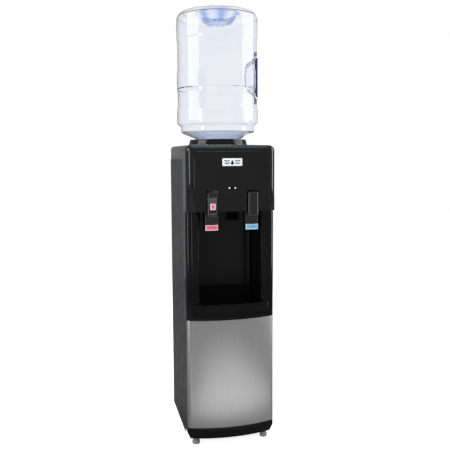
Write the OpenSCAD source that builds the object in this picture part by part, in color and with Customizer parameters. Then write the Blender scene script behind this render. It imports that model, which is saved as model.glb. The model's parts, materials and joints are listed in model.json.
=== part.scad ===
// Free-standing hot and cold water dispenser with an inverted five-gallon bottle.
// X to the right of the front, front towards -Y, Z up from the floor, millimetres.

/* [Cabinet] */
// Overall width of the cabinet
cabinet_w = 282; // [276:1:288]
// Distance from the front corners to the rear edge of the side panels
cabinet_d = 310; // [304:1:316]
// How far the bowed front stands ahead of its corners
front_bow = 19.5; // [17:0.5:21]
// Height of the top of the cabinet
cabinet_top = 948; // [940:1:956]
// Wall of the moulded plastic parts
wall = 3; // [2.6:0.1:3.4]

/* [Lower body] */
// Underside of the plinth above the floor
plinth_z = 22; // [20:1:24]
// Top of the plinth, where the stainless panel begins
plinth_top = 59; // [56:1:62]
// Top of the stainless panel
panel_top = 406; // [402:1:410]
// Diameter of a levelling foot
foot_d = 24; // [20:1:28]

/* [Alcove and tray] */
// Half width of the alcove opening
alcove_half = 100; // [97:1:102]
// Place of the alcove's rear wall, behind the middle of the cabinet if positive
alcove_back = -20; // [-24:1:-16]
// Height of the drip tray's rim
tray_rim = 454; // [450:1:458]
// Half width of the drip tray's front
tray_half = 120; // [118:1:121]

/* [Head] */
// Lower edge of the fascia
fascia_z = 745; // [742:1:748]
// Upper edge of the fascia
fascia_top = 927; // [925:1:930]
// Half width of the flat fascia panel
fascia_half = 117; // [114:1:118]
// Distance of the fascia's face from the middle of the cabinet
fascia_y = 178; // [176:1:180]

/* [Taps] */
// Distance of each tap from the middle
tap_x = 63.5; // [60:0.5:66]
// Width of a lever's upper body
lever_w = 31; // [28:1:32]
// Width of the cup paddle
paddle_w = 40; // [38:1:42]
// Radius of the lever's pivot pin
pin_r = 2.5; // [2:0.1:3]

/* [Bottle] */
// Largest radius of the bottle
bottle_r = 135.5; // [132:0.5:137]
// Height of the bottle, with its neck
bottle_h = 482.5; // [478:0.5:488]
// Wall of the bottle
bottle_wall = 2.5; // [2:0.1:3]
// Distance of the bottle's axis behind the middle of the cabinet
bottle_y = 14; // [12:1:16]

/* [Rear] */
// Distance of the condenser's rear face from the middle of the cabinet
rear_reach = 192; // [190:1:194]

/* [Hidden] */
$fn = 64;

gap = 0.3;
side_x = cabinet_w / 2;
rear_y = cabinet_d / 2;
front_y = -cabinet_d / 2;

// Plan of the bowed front: a wide arc that runs into a corner radius on each side
corner_r = 15;
corner_x = side_x - corner_r;
bow_half = side_x - 12;
bow_r = (bow_half * bow_half + front_bow * front_bow) / (2 * front_bow);
bow_centre_y = front_y - front_bow + bow_r;
corner_y = bow_centre_y - sqrt(pow(bow_r - corner_r, 2) - corner_x * corner_x);
bow_dir = [corner_x, corner_y - bow_centre_y] / (bow_r - corner_r);

// Heights and depths that several parts share
side_front = -105;
side_z = 26;
side_top = cabinet_top - 43;
sheet = 0.8;
rear_sheet_y = rear_y - 2;
ledge_z = tray_rim + 16;
alcove_top = fascia_z + 12;
alcove_wall_x = alcove_half + wall;

// Levelling feet
foot_x = side_x - 29;
foot_front_y = front_y + 22;
foot_rear_y = rear_y - 50;
foot_stem_r = 4;

// Screws along the rear flanges
flange_w = 13;
screw_x = side_x - 7;
screw_zs = [90, 290, 490, 690, 880];

// Taps: pivot, valve axis and the lever's front slab
slab_front = -190;
slab_back = -183;
pivot_y = -155;
pivot_z = 785;
valve_y = -130;
paddle_front = -170;
paddle_back = -130;
paddle_z = 687;
slab_z = 730;
slab_top = 805;
inlet_z = 768;
button_half_x = 8.5;
button_z = 752;
button_top = 771;
button_pocket = 7.2;

// Bottle
neck_z = cabinet_top - 54.5;
neck_r = 26.5;
handle_turn = -12.5;

// Cold and hot tanks
cold_r = 72;
cold_z = 780;
cold_top = 893;
coil_r = 75;
coil_z = 797;
coil_top = 881;
feed_x = 40;
outlet_turn = -40;
outlet_z = 787;
hot_x = -62;
hot_y = 62;
hot_r = 50;
drain_port = 25;
shelf_z = 552;

// Where the refrigerant lines pass the tank shelf and the rear sheet
line_x = 122;
line_y = 62;
line_hole_x = -117;

// Condenser: tube passes one above another
tube_r = 2.4;
wire_r = 0.9;
pass_gap = 36;
pass_count = 12;
pass_z = 130;
pass_half = 100;
tube_y = rear_reach - 2 * wire_r - tube_r - 0.1;

// Rear switches, drain and cord outlet
switch_z = 720;
switch_x = 22;
drain_z = 330;
gland_x = 90;
gland_z = 110;
rocker_tilt = 9;

// ---------------------------------------------------------------- helpers

// Box between two opposite corners
module block(low, high) {
    translate(low) cube(high - low);
}

// Cylinder along +X, +Y or +Z from a point
module rod_x(p, r, l) {
    translate(p) rotate([0, 90, 0]) cylinder(r = r, h = l);
}
module rod_y(p, r, l) {
    translate(p) rotate([-90, 0, 0]) cylinder(r = r, h = l);
}
module rod_z(p, r, l) {
    translate(p) cylinder(r = r, h = l);
}

// Plan of the bowed body, drawn in by inset on every side but the rear
module body_plan(inset, rear, corner_fn = 48) {
    reach = 60;
    intersection() {
        translate([0, bow_centre_y]) circle(r = bow_r - inset, $fn = 5 * corner_fn);
        polygon([[-corner_x, corner_y], [corner_x, corner_y],
            [corner_x, corner_y] + reach * bow_dir,
            [-corner_x - reach * bow_dir[0], corner_y + reach * bow_dir[1]]]);
    }
    for (s = [-1, 1]) translate([s * corner_x, corner_y]) circle(r = corner_r - inset, $fn = corner_fn);
    translate([-corner_x, corner_y - 1]) square([2 * corner_x, 2]);
    translate([inset - side_x, corner_y]) square([2 * (side_x - inset), rear - corner_y]);
}

// Everything ahead of a depth y, as a cutting block
module ahead_of(y) {
    block([-200, -260, -10], [200, y, 1000]);
}

function unit(v) = v / norm(v);
function at_limits(p, i) = p[max(0, min(len(p) - 1, i))];

// Smooth curve through hand-placed points, with n steps between each pair
function spline_point(a, b, c, d, t) =
    let (span = norm(c - b), m0 = span * unit(c - a), m1 = span * unit(d - b))
    b * (1 + t * t * (2 * t - 3)) + c * t * t * (3 - 2 * t)
    + m0 * t * (1 - t) * (1 - t) + m1 * t * t * (t - 1);
function spline(p, n) = concat([for (i = [0 : len(p) - 2]) for (k = [0 : n - 1])
    spline_point(at_limits(p, i - 1), p[i], p[i + 1], at_limits(p, i + 2), k / n)],
    [p[len(p) - 1]]);

// Round tube swept along points; side is never parallel to the path
module swept(p, r, side, sides = 8) {
    n = len(p);
    rings = [for (i = [0 : n - 1])
        let (d = unit(at_limits(p, i + 1) - at_limits(p, i - 1)),
            u = unit(cross(d, side)), v = cross(d, u))
        for (k = [0 : sides - 1])
            p[i] + r * (cos(360 * k / sides) * u + sin(360 * k / sides) * v)];
    skin = [for (i = [0 : n - 2]) for (k = [0 : sides - 1])
        let (a = i * sides + k, b = i * sides + (k + 1) % sides)
        for (face = [[a, b + sides, b], [a, a + sides, b + sides]]) face];
    ends = [[for (k = [0 : sides - 1]) k],
        [for (k = [sides - 1 : -1 : 0]) (n - 1) * sides + k]];
    polyhedron(points = rings, faces = concat(skin, ends), convexity = 8);
}

// Coil of round wire standing on z, turning about the vertical through c
module coil(c, r, z0, z1, turns, wire, steps = 16, sides = 6) {
    n = turns * steps;
    p = [for (i = [0 : n]) [c[0] + r * cos(360 * i / steps),
        c[1] + r * sin(360 * i / steps), z0 + (z1 - z0) * i / n]];
    swept(p, wire, [0, 0, 1], sides);
}

// ---------------------------------------------------------------- base and feet

module base_plinth() {
    boss_top = 45;
    floor_top = plinth_z + wall;
    color("black") difference() {
        union() {
            difference() {
                union() {
                    intersection() {
                        hull() {
                            translate([0, 0, 42]) linear_extrude(plinth_top - 42 - gap)
                                body_plan(0, side_front - gap, 24);
                            translate([0, 0, plinth_z]) linear_extrude(1)
                                body_plan(9, side_front - gap, 24);
                        }
                        ahead_of(side_front - gap);
                    }
                    translate([0, 0, plinth_z]) linear_extrude(plinth_top - plinth_z - gap)
                        intersection() {
                            body_plan(1.4, rear_sheet_y - 1);
                            translate([-side_x, side_front - gap - 1])
                                square([cabinet_w, cabinet_d]);
                        }
                }
                translate([0, 0, floor_top]) linear_extrude(60) body_plan(12, rear_y - 14);
            }
            for (x = [-foot_x, foot_x]) for (y = [foot_front_y, foot_rear_y])
                rod_z([x, y, floor_top - 1], 10, boss_top - floor_top + 1);
        }
        for (x = [-foot_x, foot_x]) for (y = [foot_front_y, foot_rear_y])
            rod_z([x, y, plinth_z - 1], foot_stem_r + 0.05, boss_top);
    }
}

// Rubber-shod foot with a hexagonal collar and a screwed stem
module levelling_foot(x, y) {
    color("dimgray") translate([x, y, 0]) {
        rotate_extrude() polygon([[0, 0], [foot_d / 2 - 1, 0], [foot_d / 2, 1],
            [foot_d / 2, 10], [foot_d / 2 - 2, 12], [0, 12]]);
        rod_z([0, 0, 11], 9, 6, $fn = 6);
        rod_z([0, 0, 12], foot_stem_r, 28);
    }
}
module foot_front_left() {
    levelling_foot(-foot_x, foot_front_y);
}
module foot_front_right() {
    levelling_foot(foot_x, foot_front_y);
}
module foot_rear_left() {
    levelling_foot(-foot_x, foot_rear_y);
}
module foot_rear_right() {
    levelling_foot(foot_x, foot_rear_y);
}

// ---------------------------------------------------------------- sheet metal

// Folded side sheet with a front return and a rear flange, right-hand side
module side_sheet() {
    outer = side_x - 0.4;
    difference() {
        union() {
            block([outer - sheet, side_front, side_z], [outer, rear_y, side_top - gap]);
            block([outer - 9, side_front, plinth_top + 1],
                [outer, side_front + sheet, side_top - gap]);
            block([outer - flange_w, rear_y - sheet, plinth_top + 1], [outer, rear_y, side_top - gap]);
        }
        for (z = screw_zs) rod_y([screw_x, rear_y - 3, z], 2, 6);
    }
}
module side_panel_right() {
    color([0.24, 0.24, 0.26]) side_sheet();
}
module side_panel_left() {
    color([0.24, 0.24, 0.26]) mirror([1, 0, 0]) side_sheet();
}

module rear_panel() {
    half = side_x - 2.2;
    color([0.2, 0.2, 0.2]) difference() {
        block([-half, rear_sheet_y, plinth_top + 1], [half, rear_sheet_y + sheet, side_top - gap]);
        for (s = [-1, 1]) for (z = screw_zs) rod_y([s * screw_x, rear_sheet_y - 3, z], 2, 8);
        for (x = [-40 : 20 : 40]) for (z = [72, 94])
            block([x - 7, rear_sheet_y - 3, z], [x + 7, rear_sheet_y + 5, z + 5]);
        for (s = [-1, 1]) block([s * switch_x - 8, rear_sheet_y - 3, switch_z - 12.5],
            [s * switch_x + 8, rear_sheet_y + 5, switch_z + 12.5]);
        rod_y([0, rear_sheet_y - 3, drain_z], 9.6, 8);
        rod_y([gland_x, rear_sheet_y - 3, gland_z], 6.2, 8);
        for (z = [pass_z, pass_z + (pass_count - 1) * pass_gap])
            rod_y([line_hole_x, rear_sheet_y - 3, z], 5, 8);
    }
}

// Pan-head screws that hold the rear sheet to the flanges
module rear_screws() {
    color("silver") for (s = [-1, 1]) for (z = screw_zs) {
        rod_y([s * screw_x, rear_y + 0.05, z], 3.6, 2);
        rod_y([s * screw_x, rear_sheet_y - 6, z], 1.9, 8.5);
    }
}

// ---------------------------------------------------------------- front below the alcove

// Moulding behind the stainless skin, with the dark strip on each side
module front_frame() {
    skin_edge = corner_y - 3;
    color([0.08, 0.08, 0.08]) translate([0, 0, plinth_top + 0.1])
        linear_extrude(panel_top - plinth_top - 0.4) difference() {
            body_plan(0, side_front - gap);
            body_plan(4.3, side_front + 5);
            difference() {
                translate([-200, skin_edge - 100]) square([400, 100]);
                body_plan(1.3, side_front);
            }
        }
}

// Bowed brushed skin, wrapped round both corners
module lower_front_panel() {
    skin_edge = corner_y - 3.3;
    color([0.62, 0.62, 0.62]) translate([0, 0, plinth_top + 0.4])
        linear_extrude(panel_top - plinth_top - 0.8) intersection() {
            difference() {
                body_plan(0, side_front);
                body_plan(1, side_front + 5);
            }
            translate([-200, skin_edge - 100]) square([400, 100]);
        }
}

// ---------------------------------------------------------------- alcove and tray

module alcove_housing() {
    floor_z = panel_top + 10;
    strip_back = -147;
    color([0.05, 0.05, 0.05]) difference() {
        union() {
            translate([0, 0, panel_top]) linear_extrude(fascia_z - panel_top - gap)
                body_plan(0, side_front - gap);
            block([-alcove_wall_x, side_front - 2, panel_top],
                [alcove_wall_x, alcove_back + wall, alcove_top + wall]);
        }
        // alcove and its tray pocket
        block([-alcove_half, -260, floor_z], [alcove_half, alcove_back, fascia_z + 1]);
        block([-alcove_half, valve_y - 17, fascia_z - 5], [alcove_half, alcove_back, alcove_top]);
        block([-tray_half - 0.5, -260, floor_z], [tray_half + 0.5, strip_back, tray_rim + 1]);
        // pillars: hollow from behind, and cut back towards the alcove
        for (s = [-1, 1]) {
            difference() {
                translate([0, 0, panel_top - 1]) linear_extrude(400) intersection() {
                    body_plan(wall, side_front + 5);
                    translate([s > 0 ? alcove_wall_x : -alcove_wall_x - 60, -200]) square([60, 120]);
                }
                block([-200, -200, floor_z - wall], [200, strip_back + wall + 2, ledge_z]);
                translate([0, 0, ledge_z - 1]) linear_extrude(400)
                    polygon([[s * (alcove_half - 5), strip_back + 10], [s * 132, strip_back + 10],
                        [s * 132, strip_back - 30], [s * (alcove_half - 5), strip_back - 30]]);
            }
            translate([0, 0, ledge_z]) linear_extrude(400)
                polygon([[s * (alcove_half - 5), strip_back + 2], [s * alcove_half, strip_back],
                    [s * 122, front_y + 4], [s * 126, front_y - 3], [s * 126, front_y - 40],
                    [s * (alcove_half - 5), front_y - 40]]);
            translate([0, 0, tray_rim + 0.5]) linear_extrude(40)
                polygon([[s * (alcove_half - 5), strip_back + 2], [s * alcove_half, strip_back],
                    [s * (tray_half + 0.5), front_y + 4.3], [s * (tray_half + 0.5), front_y - 40],
                    [s * (alcove_half - 5), front_y - 40]]);
        }
        // space for the levers behind the fascia
        block([-alcove_half, -260, fascia_z - 1], [alcove_half, valve_y - 16, 900]);
        // hollow under the shelf of the tray
        block([-alcove_half, side_front - 10, panel_top - 1],
            [alcove_half, alcove_back + wall + 1, floor_z - wall]);
    }
}

// Plan of the tray: wide bowed front and a narrower box behind it
module tray_plan(inset) {
    intersection() {
        body_plan(inset, side_front);
        translate([inset - tray_half, -200]) square([2 * (tray_half - inset), 200 - 147.6 - inset]);
    }
    back = alcove_back - 1 - inset;
    translate([inset - alcove_half + 0.6, -150 - inset])
        square([2 * (alcove_half - 0.6 - inset), back + 150 + inset]);
}

module drip_tray() {
    z0 = panel_top + 10.6;
    tray_wall = 2.6;
    ledge = tray_rim - 6;
    color([0.06, 0.06, 0.06]) difference() {
        translate([0, 0, z0]) linear_extrude(tray_rim - z0) tray_plan(0);
        translate([0, 0, z0 + tray_wall]) linear_extrude(60) tray_plan(tray_wall + 3);
        translate([0, 0, ledge]) linear_extrude(60) tray_plan(tray_wall);
    }
}

module drip_grille() {
    z0 = tray_rim - 5.6;
    slot_w = 4.4;
    pitch = 10;
    inset = 3;
    color([0.1, 0.1, 0.1]) translate([0, 0, z0]) linear_extrude(4) difference() {
        tray_plan(inset);
        for (x = [-90 : pitch : 90]) for (row = [[-156, -122], [-116, -76], [-70, -30]])
            translate([x - slot_w / 2, row[0]]) square([slot_w, row[1] - row[0]]);
    }
}

// ---------------------------------------------------------------- head

head_corner = side_x - fascia_half;
head_corner_y = -fascia_y + head_corner;

// Plan of the head's front block
module head_plan(inset, rear) {
    for (s = [-1, 1]) translate([s * fascia_half, head_corner_y])
        circle(r = head_corner - inset, $fn = 64);
    translate([-fascia_half, inset - fascia_y]) square([2 * fascia_half, rear + fascia_y - inset]);
    translate([inset - side_x, head_corner_y]) square([2 * (side_x - inset), rear - head_corner_y]);
}

// Rounded cap over the whole cabinet, drawn in by inset
module head_cap(inset, z0) {
    rear_r = 14;
    edge = 18;
    hull() {
        for (s = [-1, 1]) translate([s * fascia_half, head_corner_y, 0])
            rotate_extrude($fn = 48) capped_profile(head_corner - inset, edge - inset, z0, inset);
        for (s = [-1, 1]) translate([s * (side_x - rear_r), rear_y - rear_r, 0])
            rotate_extrude($fn = 32) capped_profile(rear_r - inset, 11 - inset, z0, inset);
    }
}

// Half section of a post whose top edge is rounded to radius e
module capped_profile(r, e, z0, inset) {
    top = cabinet_top - inset;
    polygon(concat([[0, z0], [r, z0]],
        [for (a = [0 : 10 : 90]) [r - e + e * cos(a), top - e + e * sin(a)]], [[0, top]]));
}

module top_cover() {
    seat_hole = 91;
    rebate = 7;
    color([0.09, 0.09, 0.09]) difference() {
        union() {
            head_cap(0, side_top);
            translate([0, 0, fascia_z]) linear_extrude(side_top - fascia_z + 1)
                head_plan(0, side_front - gap);
        }
        head_cap(wall, side_top - 1);
        translate([0, 0, fascia_z - 1]) linear_extrude(side_top - fascia_z + 2)
            head_plan(5, side_front + 5);
        // opening for the fascia panel, with a rebate behind its border
        block([-fascia_half - 0.2, -fascia_y - 5, fascia_z - 1],
            [fascia_half + 0.2, -fascia_y + 3, fascia_top + 0.2]);
        block([rebate - fascia_half, -fascia_y - 5, fascia_z - 1],
            [fascia_half - rebate, -fascia_y + 20, fascia_top - rebate]);
        rod_z([0, bottle_y, cabinet_top - 20], seat_hole, 40);
    }
}

module fascia_panel() {
    slot_half = lever_w / 2 + 3;
    color([0.13, 0.13, 0.13]) difference() {
        block([-fascia_half, -fascia_y, fascia_z], [fascia_half, -fascia_y + 2.8, fascia_top]);
        for (s = [-1, 1]) {
            block([s * tap_x - slot_half, -fascia_y - 5, fascia_z - 1],
                [s * tap_x + slot_half, -fascia_y + 5, slab_top + 4]);
            rod_y([s * 9, -fascia_y - 5, 817], 2.6, 20);
        }
    }
}

module badge_plate() {
    color("white") block([-31, -fascia_y - 1.2, 884], [31, -fascia_y - 0.02, 907]);
}

module indicator_lenses() {
    color("white") for (s = [-1, 1]) rod_y([s * 9, -fascia_y - 0.5, 817], 2.5, 6);
}

module indicator_board() {
    color("darkgreen") block([-22, -fascia_y + 8, 806], [22, -fascia_y + 9.6, 830]);
    color("darkgreen") for (s = [-1, 1]) block([s * 9 - 2, -fascia_y + 5.8, 815],
        [s * 9 + 2, -fascia_y + 8.1, 819]);
}

// ---------------------------------------------------------------- taps

// Lever with its front slab, pivot boss, cup paddle and the fork that lifts the valve stem
module lever(pocket) {
    half = lever_w / 2;
    paddle = paddle_w / 2;
    cheek_top = 757;
    web_half = 11.5;
    round_r = 3;
    difference() {
        union() {
            // front slab with rounded vertical edges
            translate([0, 0, slab_z]) linear_extrude(slab_top - slab_z) {
                translate([-half, slab_front + round_r]) square([2 * half, slab_back - slab_front - round_r]);
                translate([round_r - half, slab_front]) square([2 * (half - round_r), 5]);
                for (s = [-1, 1]) translate([s * (half - round_r), slab_front + round_r]) circle(r = round_r);
            }
            block([-web_half, slab_back - 1, slab_z + 5], [web_half, pivot_y - 5, 798]);
            rod_x([-web_half, pivot_y, pivot_z], 7, 2 * web_half);
            block([-web_half, pivot_y - 8, pivot_z - 7], [web_half, pivot_y, pivot_z + 7]);
            // fork under the stem's collar
            for (s = [-1, 1]) block([s > 0 ? 4 : -8, pivot_y, pivot_z - 3],
                [s > 0 ? 8 : -4, valve_y + 5, pivot_z + 3]);
            // cup paddle: front wall, two cheeks and a bridge to the slab
            block([-paddle, paddle_front, paddle_z], [paddle, paddle_front + 3, slab_z + 10]);
            for (s = [-1, 1]) block([s > 0 ? paddle - 3 : -paddle, paddle_front, paddle_z],
                [s > 0 ? paddle : 3 - paddle, paddle_back, cheek_top]);
            block([-half, slab_back - 1, slab_z + 5], [half, paddle_front + 3, slab_z + 14]);
        }
        rod_x([-30, pivot_y, pivot_z], pin_r + 0.05, 60);
        if (pocket) block([-button_half_x - gap, slab_front - 5, button_z - gap],
            [button_half_x + gap, slab_back + button_pocket, button_top + gap]);
    }
}
module hot_lever() {
    color([0.07, 0.07, 0.07]) translate([-tap_x, 0, 0]) lever(true);
}
module cold_lever() {
    color([0.07, 0.07, 0.07]) translate([tap_x, 0, 0]) lever(false);
}

module label_band() {
    half = paddle_w / 2 - 0.2;
    block([-half, paddle_front - 1.3, paddle_z + 0.3], [half, paddle_front - 0.02, paddle_z + 18]);
}
module hot_label() {
    color([0.86, 0.35, 0.48]) translate([-tap_x, 0, 0]) label_band();
}
module cold_label() {
    color([0.4, 0.7, 0.9]) translate([tap_x, 0, 0]) label_band();
}

module hot_button() {
    color([0.8, 0.3, 0.42]) translate([-tap_x, 0, 0])
        block([-button_half_x, slab_front - 2, button_z], [button_half_x, slab_back - 1, button_top]);
}

module button_spring() {
    color("silver") translate([-tap_x, 0, (button_z + button_top) / 2]) rotate([-90, 0, 0])
        coil([0, 0], 3.5, slab_back - 0.4, slab_back + 4.4, 4, 0.35, 14, 6);
}

module pivot_pins() {
    color("silver") for (s = [-1, 1]) rod_x([s * tap_x - 18, pivot_y, pivot_z], pin_r, 36);
}

// Valve body with its fork for the lever pin, chamber, spout and inlet
module faucet() {
    chamber_z = 748;
    chamber_top = 774;
    cap_top = 778;
    color([0.85, 0.85, 0.82]) difference() {
        union() {
            rod_z([0, valve_y, 744], 12, cap_top - 744);
            rod_z([0, valve_y, 706], 7, 40);
            for (s = [-1, 1]) {
                block([s > 0 ? 13.5 : -18, pivot_y - 6, pivot_z - 6],
                    [s > 0 ? 18 : -13.5, valve_y + 12, pivot_z + 6]);
                block([s > 0 ? 8 : -18, valve_y + 6, 764], [s > 0 ? 18 : -8, valve_y + 12, pivot_z]);
            }
            block([-18, valve_y + 8.5, 762], [18, valve_y + 14, pivot_z + 6]);
            rod_y([0, valve_y + 8, inlet_z], 5, 26);
        }
        rod_z([0, valve_y, chamber_z], 8.5, chamber_top - chamber_z);
        rod_z([0, valve_y, 700], 4.5, 50);
        rod_z([0, valve_y, 770], 3.05, 20);
        rod_y([0, valve_y + 2, inlet_z], 3.2, 40);
        for (s = [-1, 1]) rod_x([-30, pivot_y, pivot_z], pin_r + 0.02, 60);
    }
}
module hot_faucet() {
    translate([-tap_x, 0, 0]) faucet();
}
module cold_faucet() {
    translate([tap_x, 0, 0]) faucet();
}

// Valve stem with its seat disc and the collar that the lever lifts
module plunger() {
    color("white") {
        rod_z([0, valve_y, 748.4], 7, 2.6);
        rod_z([0, valve_y, 750], 3, 44);
        block([-8, valve_y - 4, pivot_z + 3.4], [8, valve_y + 4, pivot_z + 8]);
    }
}
module hot_plunger() {
    translate([-tap_x, 0, 0]) plunger();
}
module cold_plunger() {
    translate([tap_x, 0, 0]) plunger();
}

module valve_spring(x) {
    color("silver") coil([x, valve_y], 5.4, 751.8, 773.2, 5, 0.6, 14, 6);
}
module hot_spring() {
    valve_spring(-tap_x);
}
module cold_spring() {
    valve_spring(tap_x);
}

// ---------------------------------------------------------------- bottle and its seat

module bottle_seat() {
    well_z = neck_z - 8;
    color([0.1, 0.1, 0.1]) translate([0, bottle_y, 0]) rotate_extrude($fn = 96)
        polygon([[10.3, well_z], [36, well_z], [36, 922], [62, 943], [90.5, 943],
            [90.5, cabinet_top + 0.3], [98, cabinet_top + 0.3], [98, cabinet_top + 4],
            [94, cabinet_top + 20], [88, cabinet_top + 20], [86, 948], [60, 948],
            [33, 926], [33, well_z + 3], [10.3, well_z + 3]]);
}

module seat_gasket() {
    color([0.75, 0.75, 0.72]) translate([0, bottle_y, 0]) rotate_extrude($fn = 96)
        polygon([[64, 948.1], [73, 948.1], [73, shoulder_z(73) - gap], [64, shoulder_z(64) - gap]]);
}

// Height of the bottle's shoulder cone above radius r
function shoulder_z(r) = neck_z + 60.5 + (r - 30) * 20 / 53;

module bottle_probe() {
    base_z = neck_z - 4.8;
    tip_z = 945;
    color([0.85, 0.88, 0.9]) translate([0, bottle_y, 0]) difference() {
        union() {
            rod_z([0, 0, 862], 10.2, tip_z - 8 - 862);
            rod_z([0, 0, base_z], 24, 3);
            translate([0, 0, tip_z - 8]) cylinder(r1 = 10.2, r2 = 4, h = 8);
        }
        rod_z([0, 0, 860], 7, tip_z - 12 - 860);
        for (a = [0, 90]) rotate([0, 0, a]) block([-20, -3, 915], [20, 3, 930]);
    }
}

// Outline of the inverted bottle from the neck up to the foot, as radius and height;
// t draws it in by the wall
function bottle_profile(t) = let (R = bottle_r, h = bottle_h, e = 25) concat(
    [[neck_r - t, 0], [neck_r - t, 56], [30 - t, 60.5 + t], [83 - t / 2, 80.5 + t],
    [R - 17.5 - t, 94.5 + t / 2], [R - 12.5 - t, 100.5 + t / 2], [R - 12.5 - t, 117],
    [R - t, 125], [R - t, 176.5], [R - 4.5 - t, 180], [R - 4.5 - t, 231],
    [R - 0.5 - t, 234.5], [R - 0.5 - t, 293.5], [R - 4.5 - t, 297], [R - 4.5 - t, 391.5],
    [R - 0.5 - t, 395]],
    [for (a = [0 : 15 : 90]) [R - 0.5 - e + (e - t) * cos(a), h - e + (e - t) * sin(a)]],
    [[66 + t, h - t], [42 + t / 2, h - 28 - t], [0, h - 31 - t]]);

// Pocket for the fingers behind the grip, grown by t
module handle_pocket(t) {
    rotate([0, 0, handle_turn]) rotate([90, 0, 0]) translate([0, 0, -52 - t])
        linear_extrude(2 * (52 + t)) polygon([[93 - t, 234 - t], [93 - t, 312 + t],
            [150, 352 + t], [150, 194 - t]]);
}

module water_bottle() {
    color([0.8, 0.88, 0.95, 0.5]) translate([0, bottle_y, neck_z]) {
        difference() {
            rotate_extrude($fn = 96) polygon(concat([[0, 0]], bottle_profile(0)));
            handle_pocket(0);
            difference() {
                rotate_extrude($fn = 96) polygon(concat([[0, -1], [neck_r - bottle_wall, -1]],
                    bottle_profile(bottle_wall)));
                handle_pocket(bottle_wall);
            }
        }
        rotate([0, 0, handle_turn]) block([121, -12, 190], [bottle_r - 1.5, 12, 356]);
    }
}

module bottle_cap() {
    lip = neck_r + 0.05;
    color([0.3, 0.5, 0.85]) translate([0, bottle_y, neck_z]) rotate_extrude($fn = 72)
        polygon([[12, -1.5], [lip + 2, -1.5], [lip + 2, 24], [lip, 24], [lip, -0.1], [12, -0.1]]);
}

// ---------------------------------------------------------------- cold side

module cold_tank() {
    inner = cold_r - 1.5;
    color("silver") translate([0, bottle_y, 0]) difference() {
        rod_z([0, 0, cold_z], cold_r, cold_top - cold_z);
        rod_z([0, 0, cold_z + 1.5], inner, 200);
        rod_z([-feed_x, 0, cold_z - 5], 3.2, 10);
        rotate([0, 0, outlet_turn]) rod_x([60, 0, outlet_z], 3.2, 20);
    }
}

module baffle_plate() {
    color("white") translate([0, bottle_y, 0]) difference() {
        union() {
            rod_z([0, 0, 836], cold_r - 3, 2.5);
            for (a = [0 : 120 : 240]) rotate([0, 0, a]) rod_z([55, 0, cold_z + 1.6], 4, 55);
        }
        for (a = [0 : 45 : 315]) rotate([0, 0, a]) rod_z([40, 0, 830], 5, 20);
        rod_z([0, 0, 830], 14, 20);
    }
}

// Foam jacket round the cold tank, and its lid
module cold_insulation() {
    outer = 98;
    foam_z = alcove_top + wall + 0.4;
    color([0.95, 0.95, 0.92]) translate([0, bottle_y, 0]) {
        difference() {
            rod_z([0, 0, foam_z], outer, cold_top - foam_z);
            rod_z([0, 0, cold_z - 0.3], 78.2, 200);
            rod_z([-feed_x, 0, 700], 5.4, 120);
            rotate([0, 0, outlet_turn]) rod_x([60, 0, outlet_z], 5.4, 60);
            block([60, -12, 785], [120, 32, 900]);
        }
        rotate_extrude($fn = 96) polygon([[36.5, cold_top + 0.2], [outer, cold_top + 0.2],
            [outer, cold_top + 9], [36.5, cold_top + 9]]);
    }
}

module evaporator_coil() {
    color([0.72, 0.45, 0.2]) coil([0, bottle_y], coil_r, coil_z, coil_top, 7, 2.4, 24, 8);
}

// ---------------------------------------------------------------- hot side

module hot_tank() {
    color("silver") translate([hot_x, hot_y, 0]) difference() {
        union() {
            rod_z([0, 0, shelf_z + 12], hot_r, 130);
            rod_z([0, 0, shelf_z + 141], 6, 14);
            for (a = [45 : 90 : 315]) rotate([0, 0, a]) rod_z([38, 0, shelf_z + 1.2], 4, 12);
        }
        rod_z([0, 0, shelf_z + 13.5], hot_r - 1.5, 127);
        rod_z([0, 0, shelf_z + 135], 4.2, 40);
        for (x = [0, drain_port]) rod_z([x, 0, shelf_z + 10], 3.2, 5);
    }
}

module heater_band() {
    color([0.7, 0.7, 0.66]) translate([hot_x, hot_y, shelf_z + 40]) difference() {
        union() {
            rod_z([0, 0, 0], hot_r + 3, 42);
            block([hot_r, -7, 8], [hot_r + 11, 7, 34]);
        }
        rod_z([0, 0, -1], hot_r + 0.2, 60);
    }
}

module thermostats() {
    color([0.9, 0.9, 0.85]) translate([hot_x, hot_y, shelf_z + 142.3]) for (s = [-1, 1]) {
        rod_z([s * 27, 0, 0], 8, 7);
        block([s * 27 - 3, -5, 6], [s * 27 + 3, 5, 13]);
    }
}

module hot_jacket() {
    color([0.8, 0.78, 0.7]) translate([hot_x, hot_y, 0]) difference() {
        rod_z([0, 0, shelf_z + 14], hot_r + 14, 120);
        rod_z([0, 0, 500], hot_r + 4, 400);
        block([40, -14, 500], [90, 14, 900]);
    }
}

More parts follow.
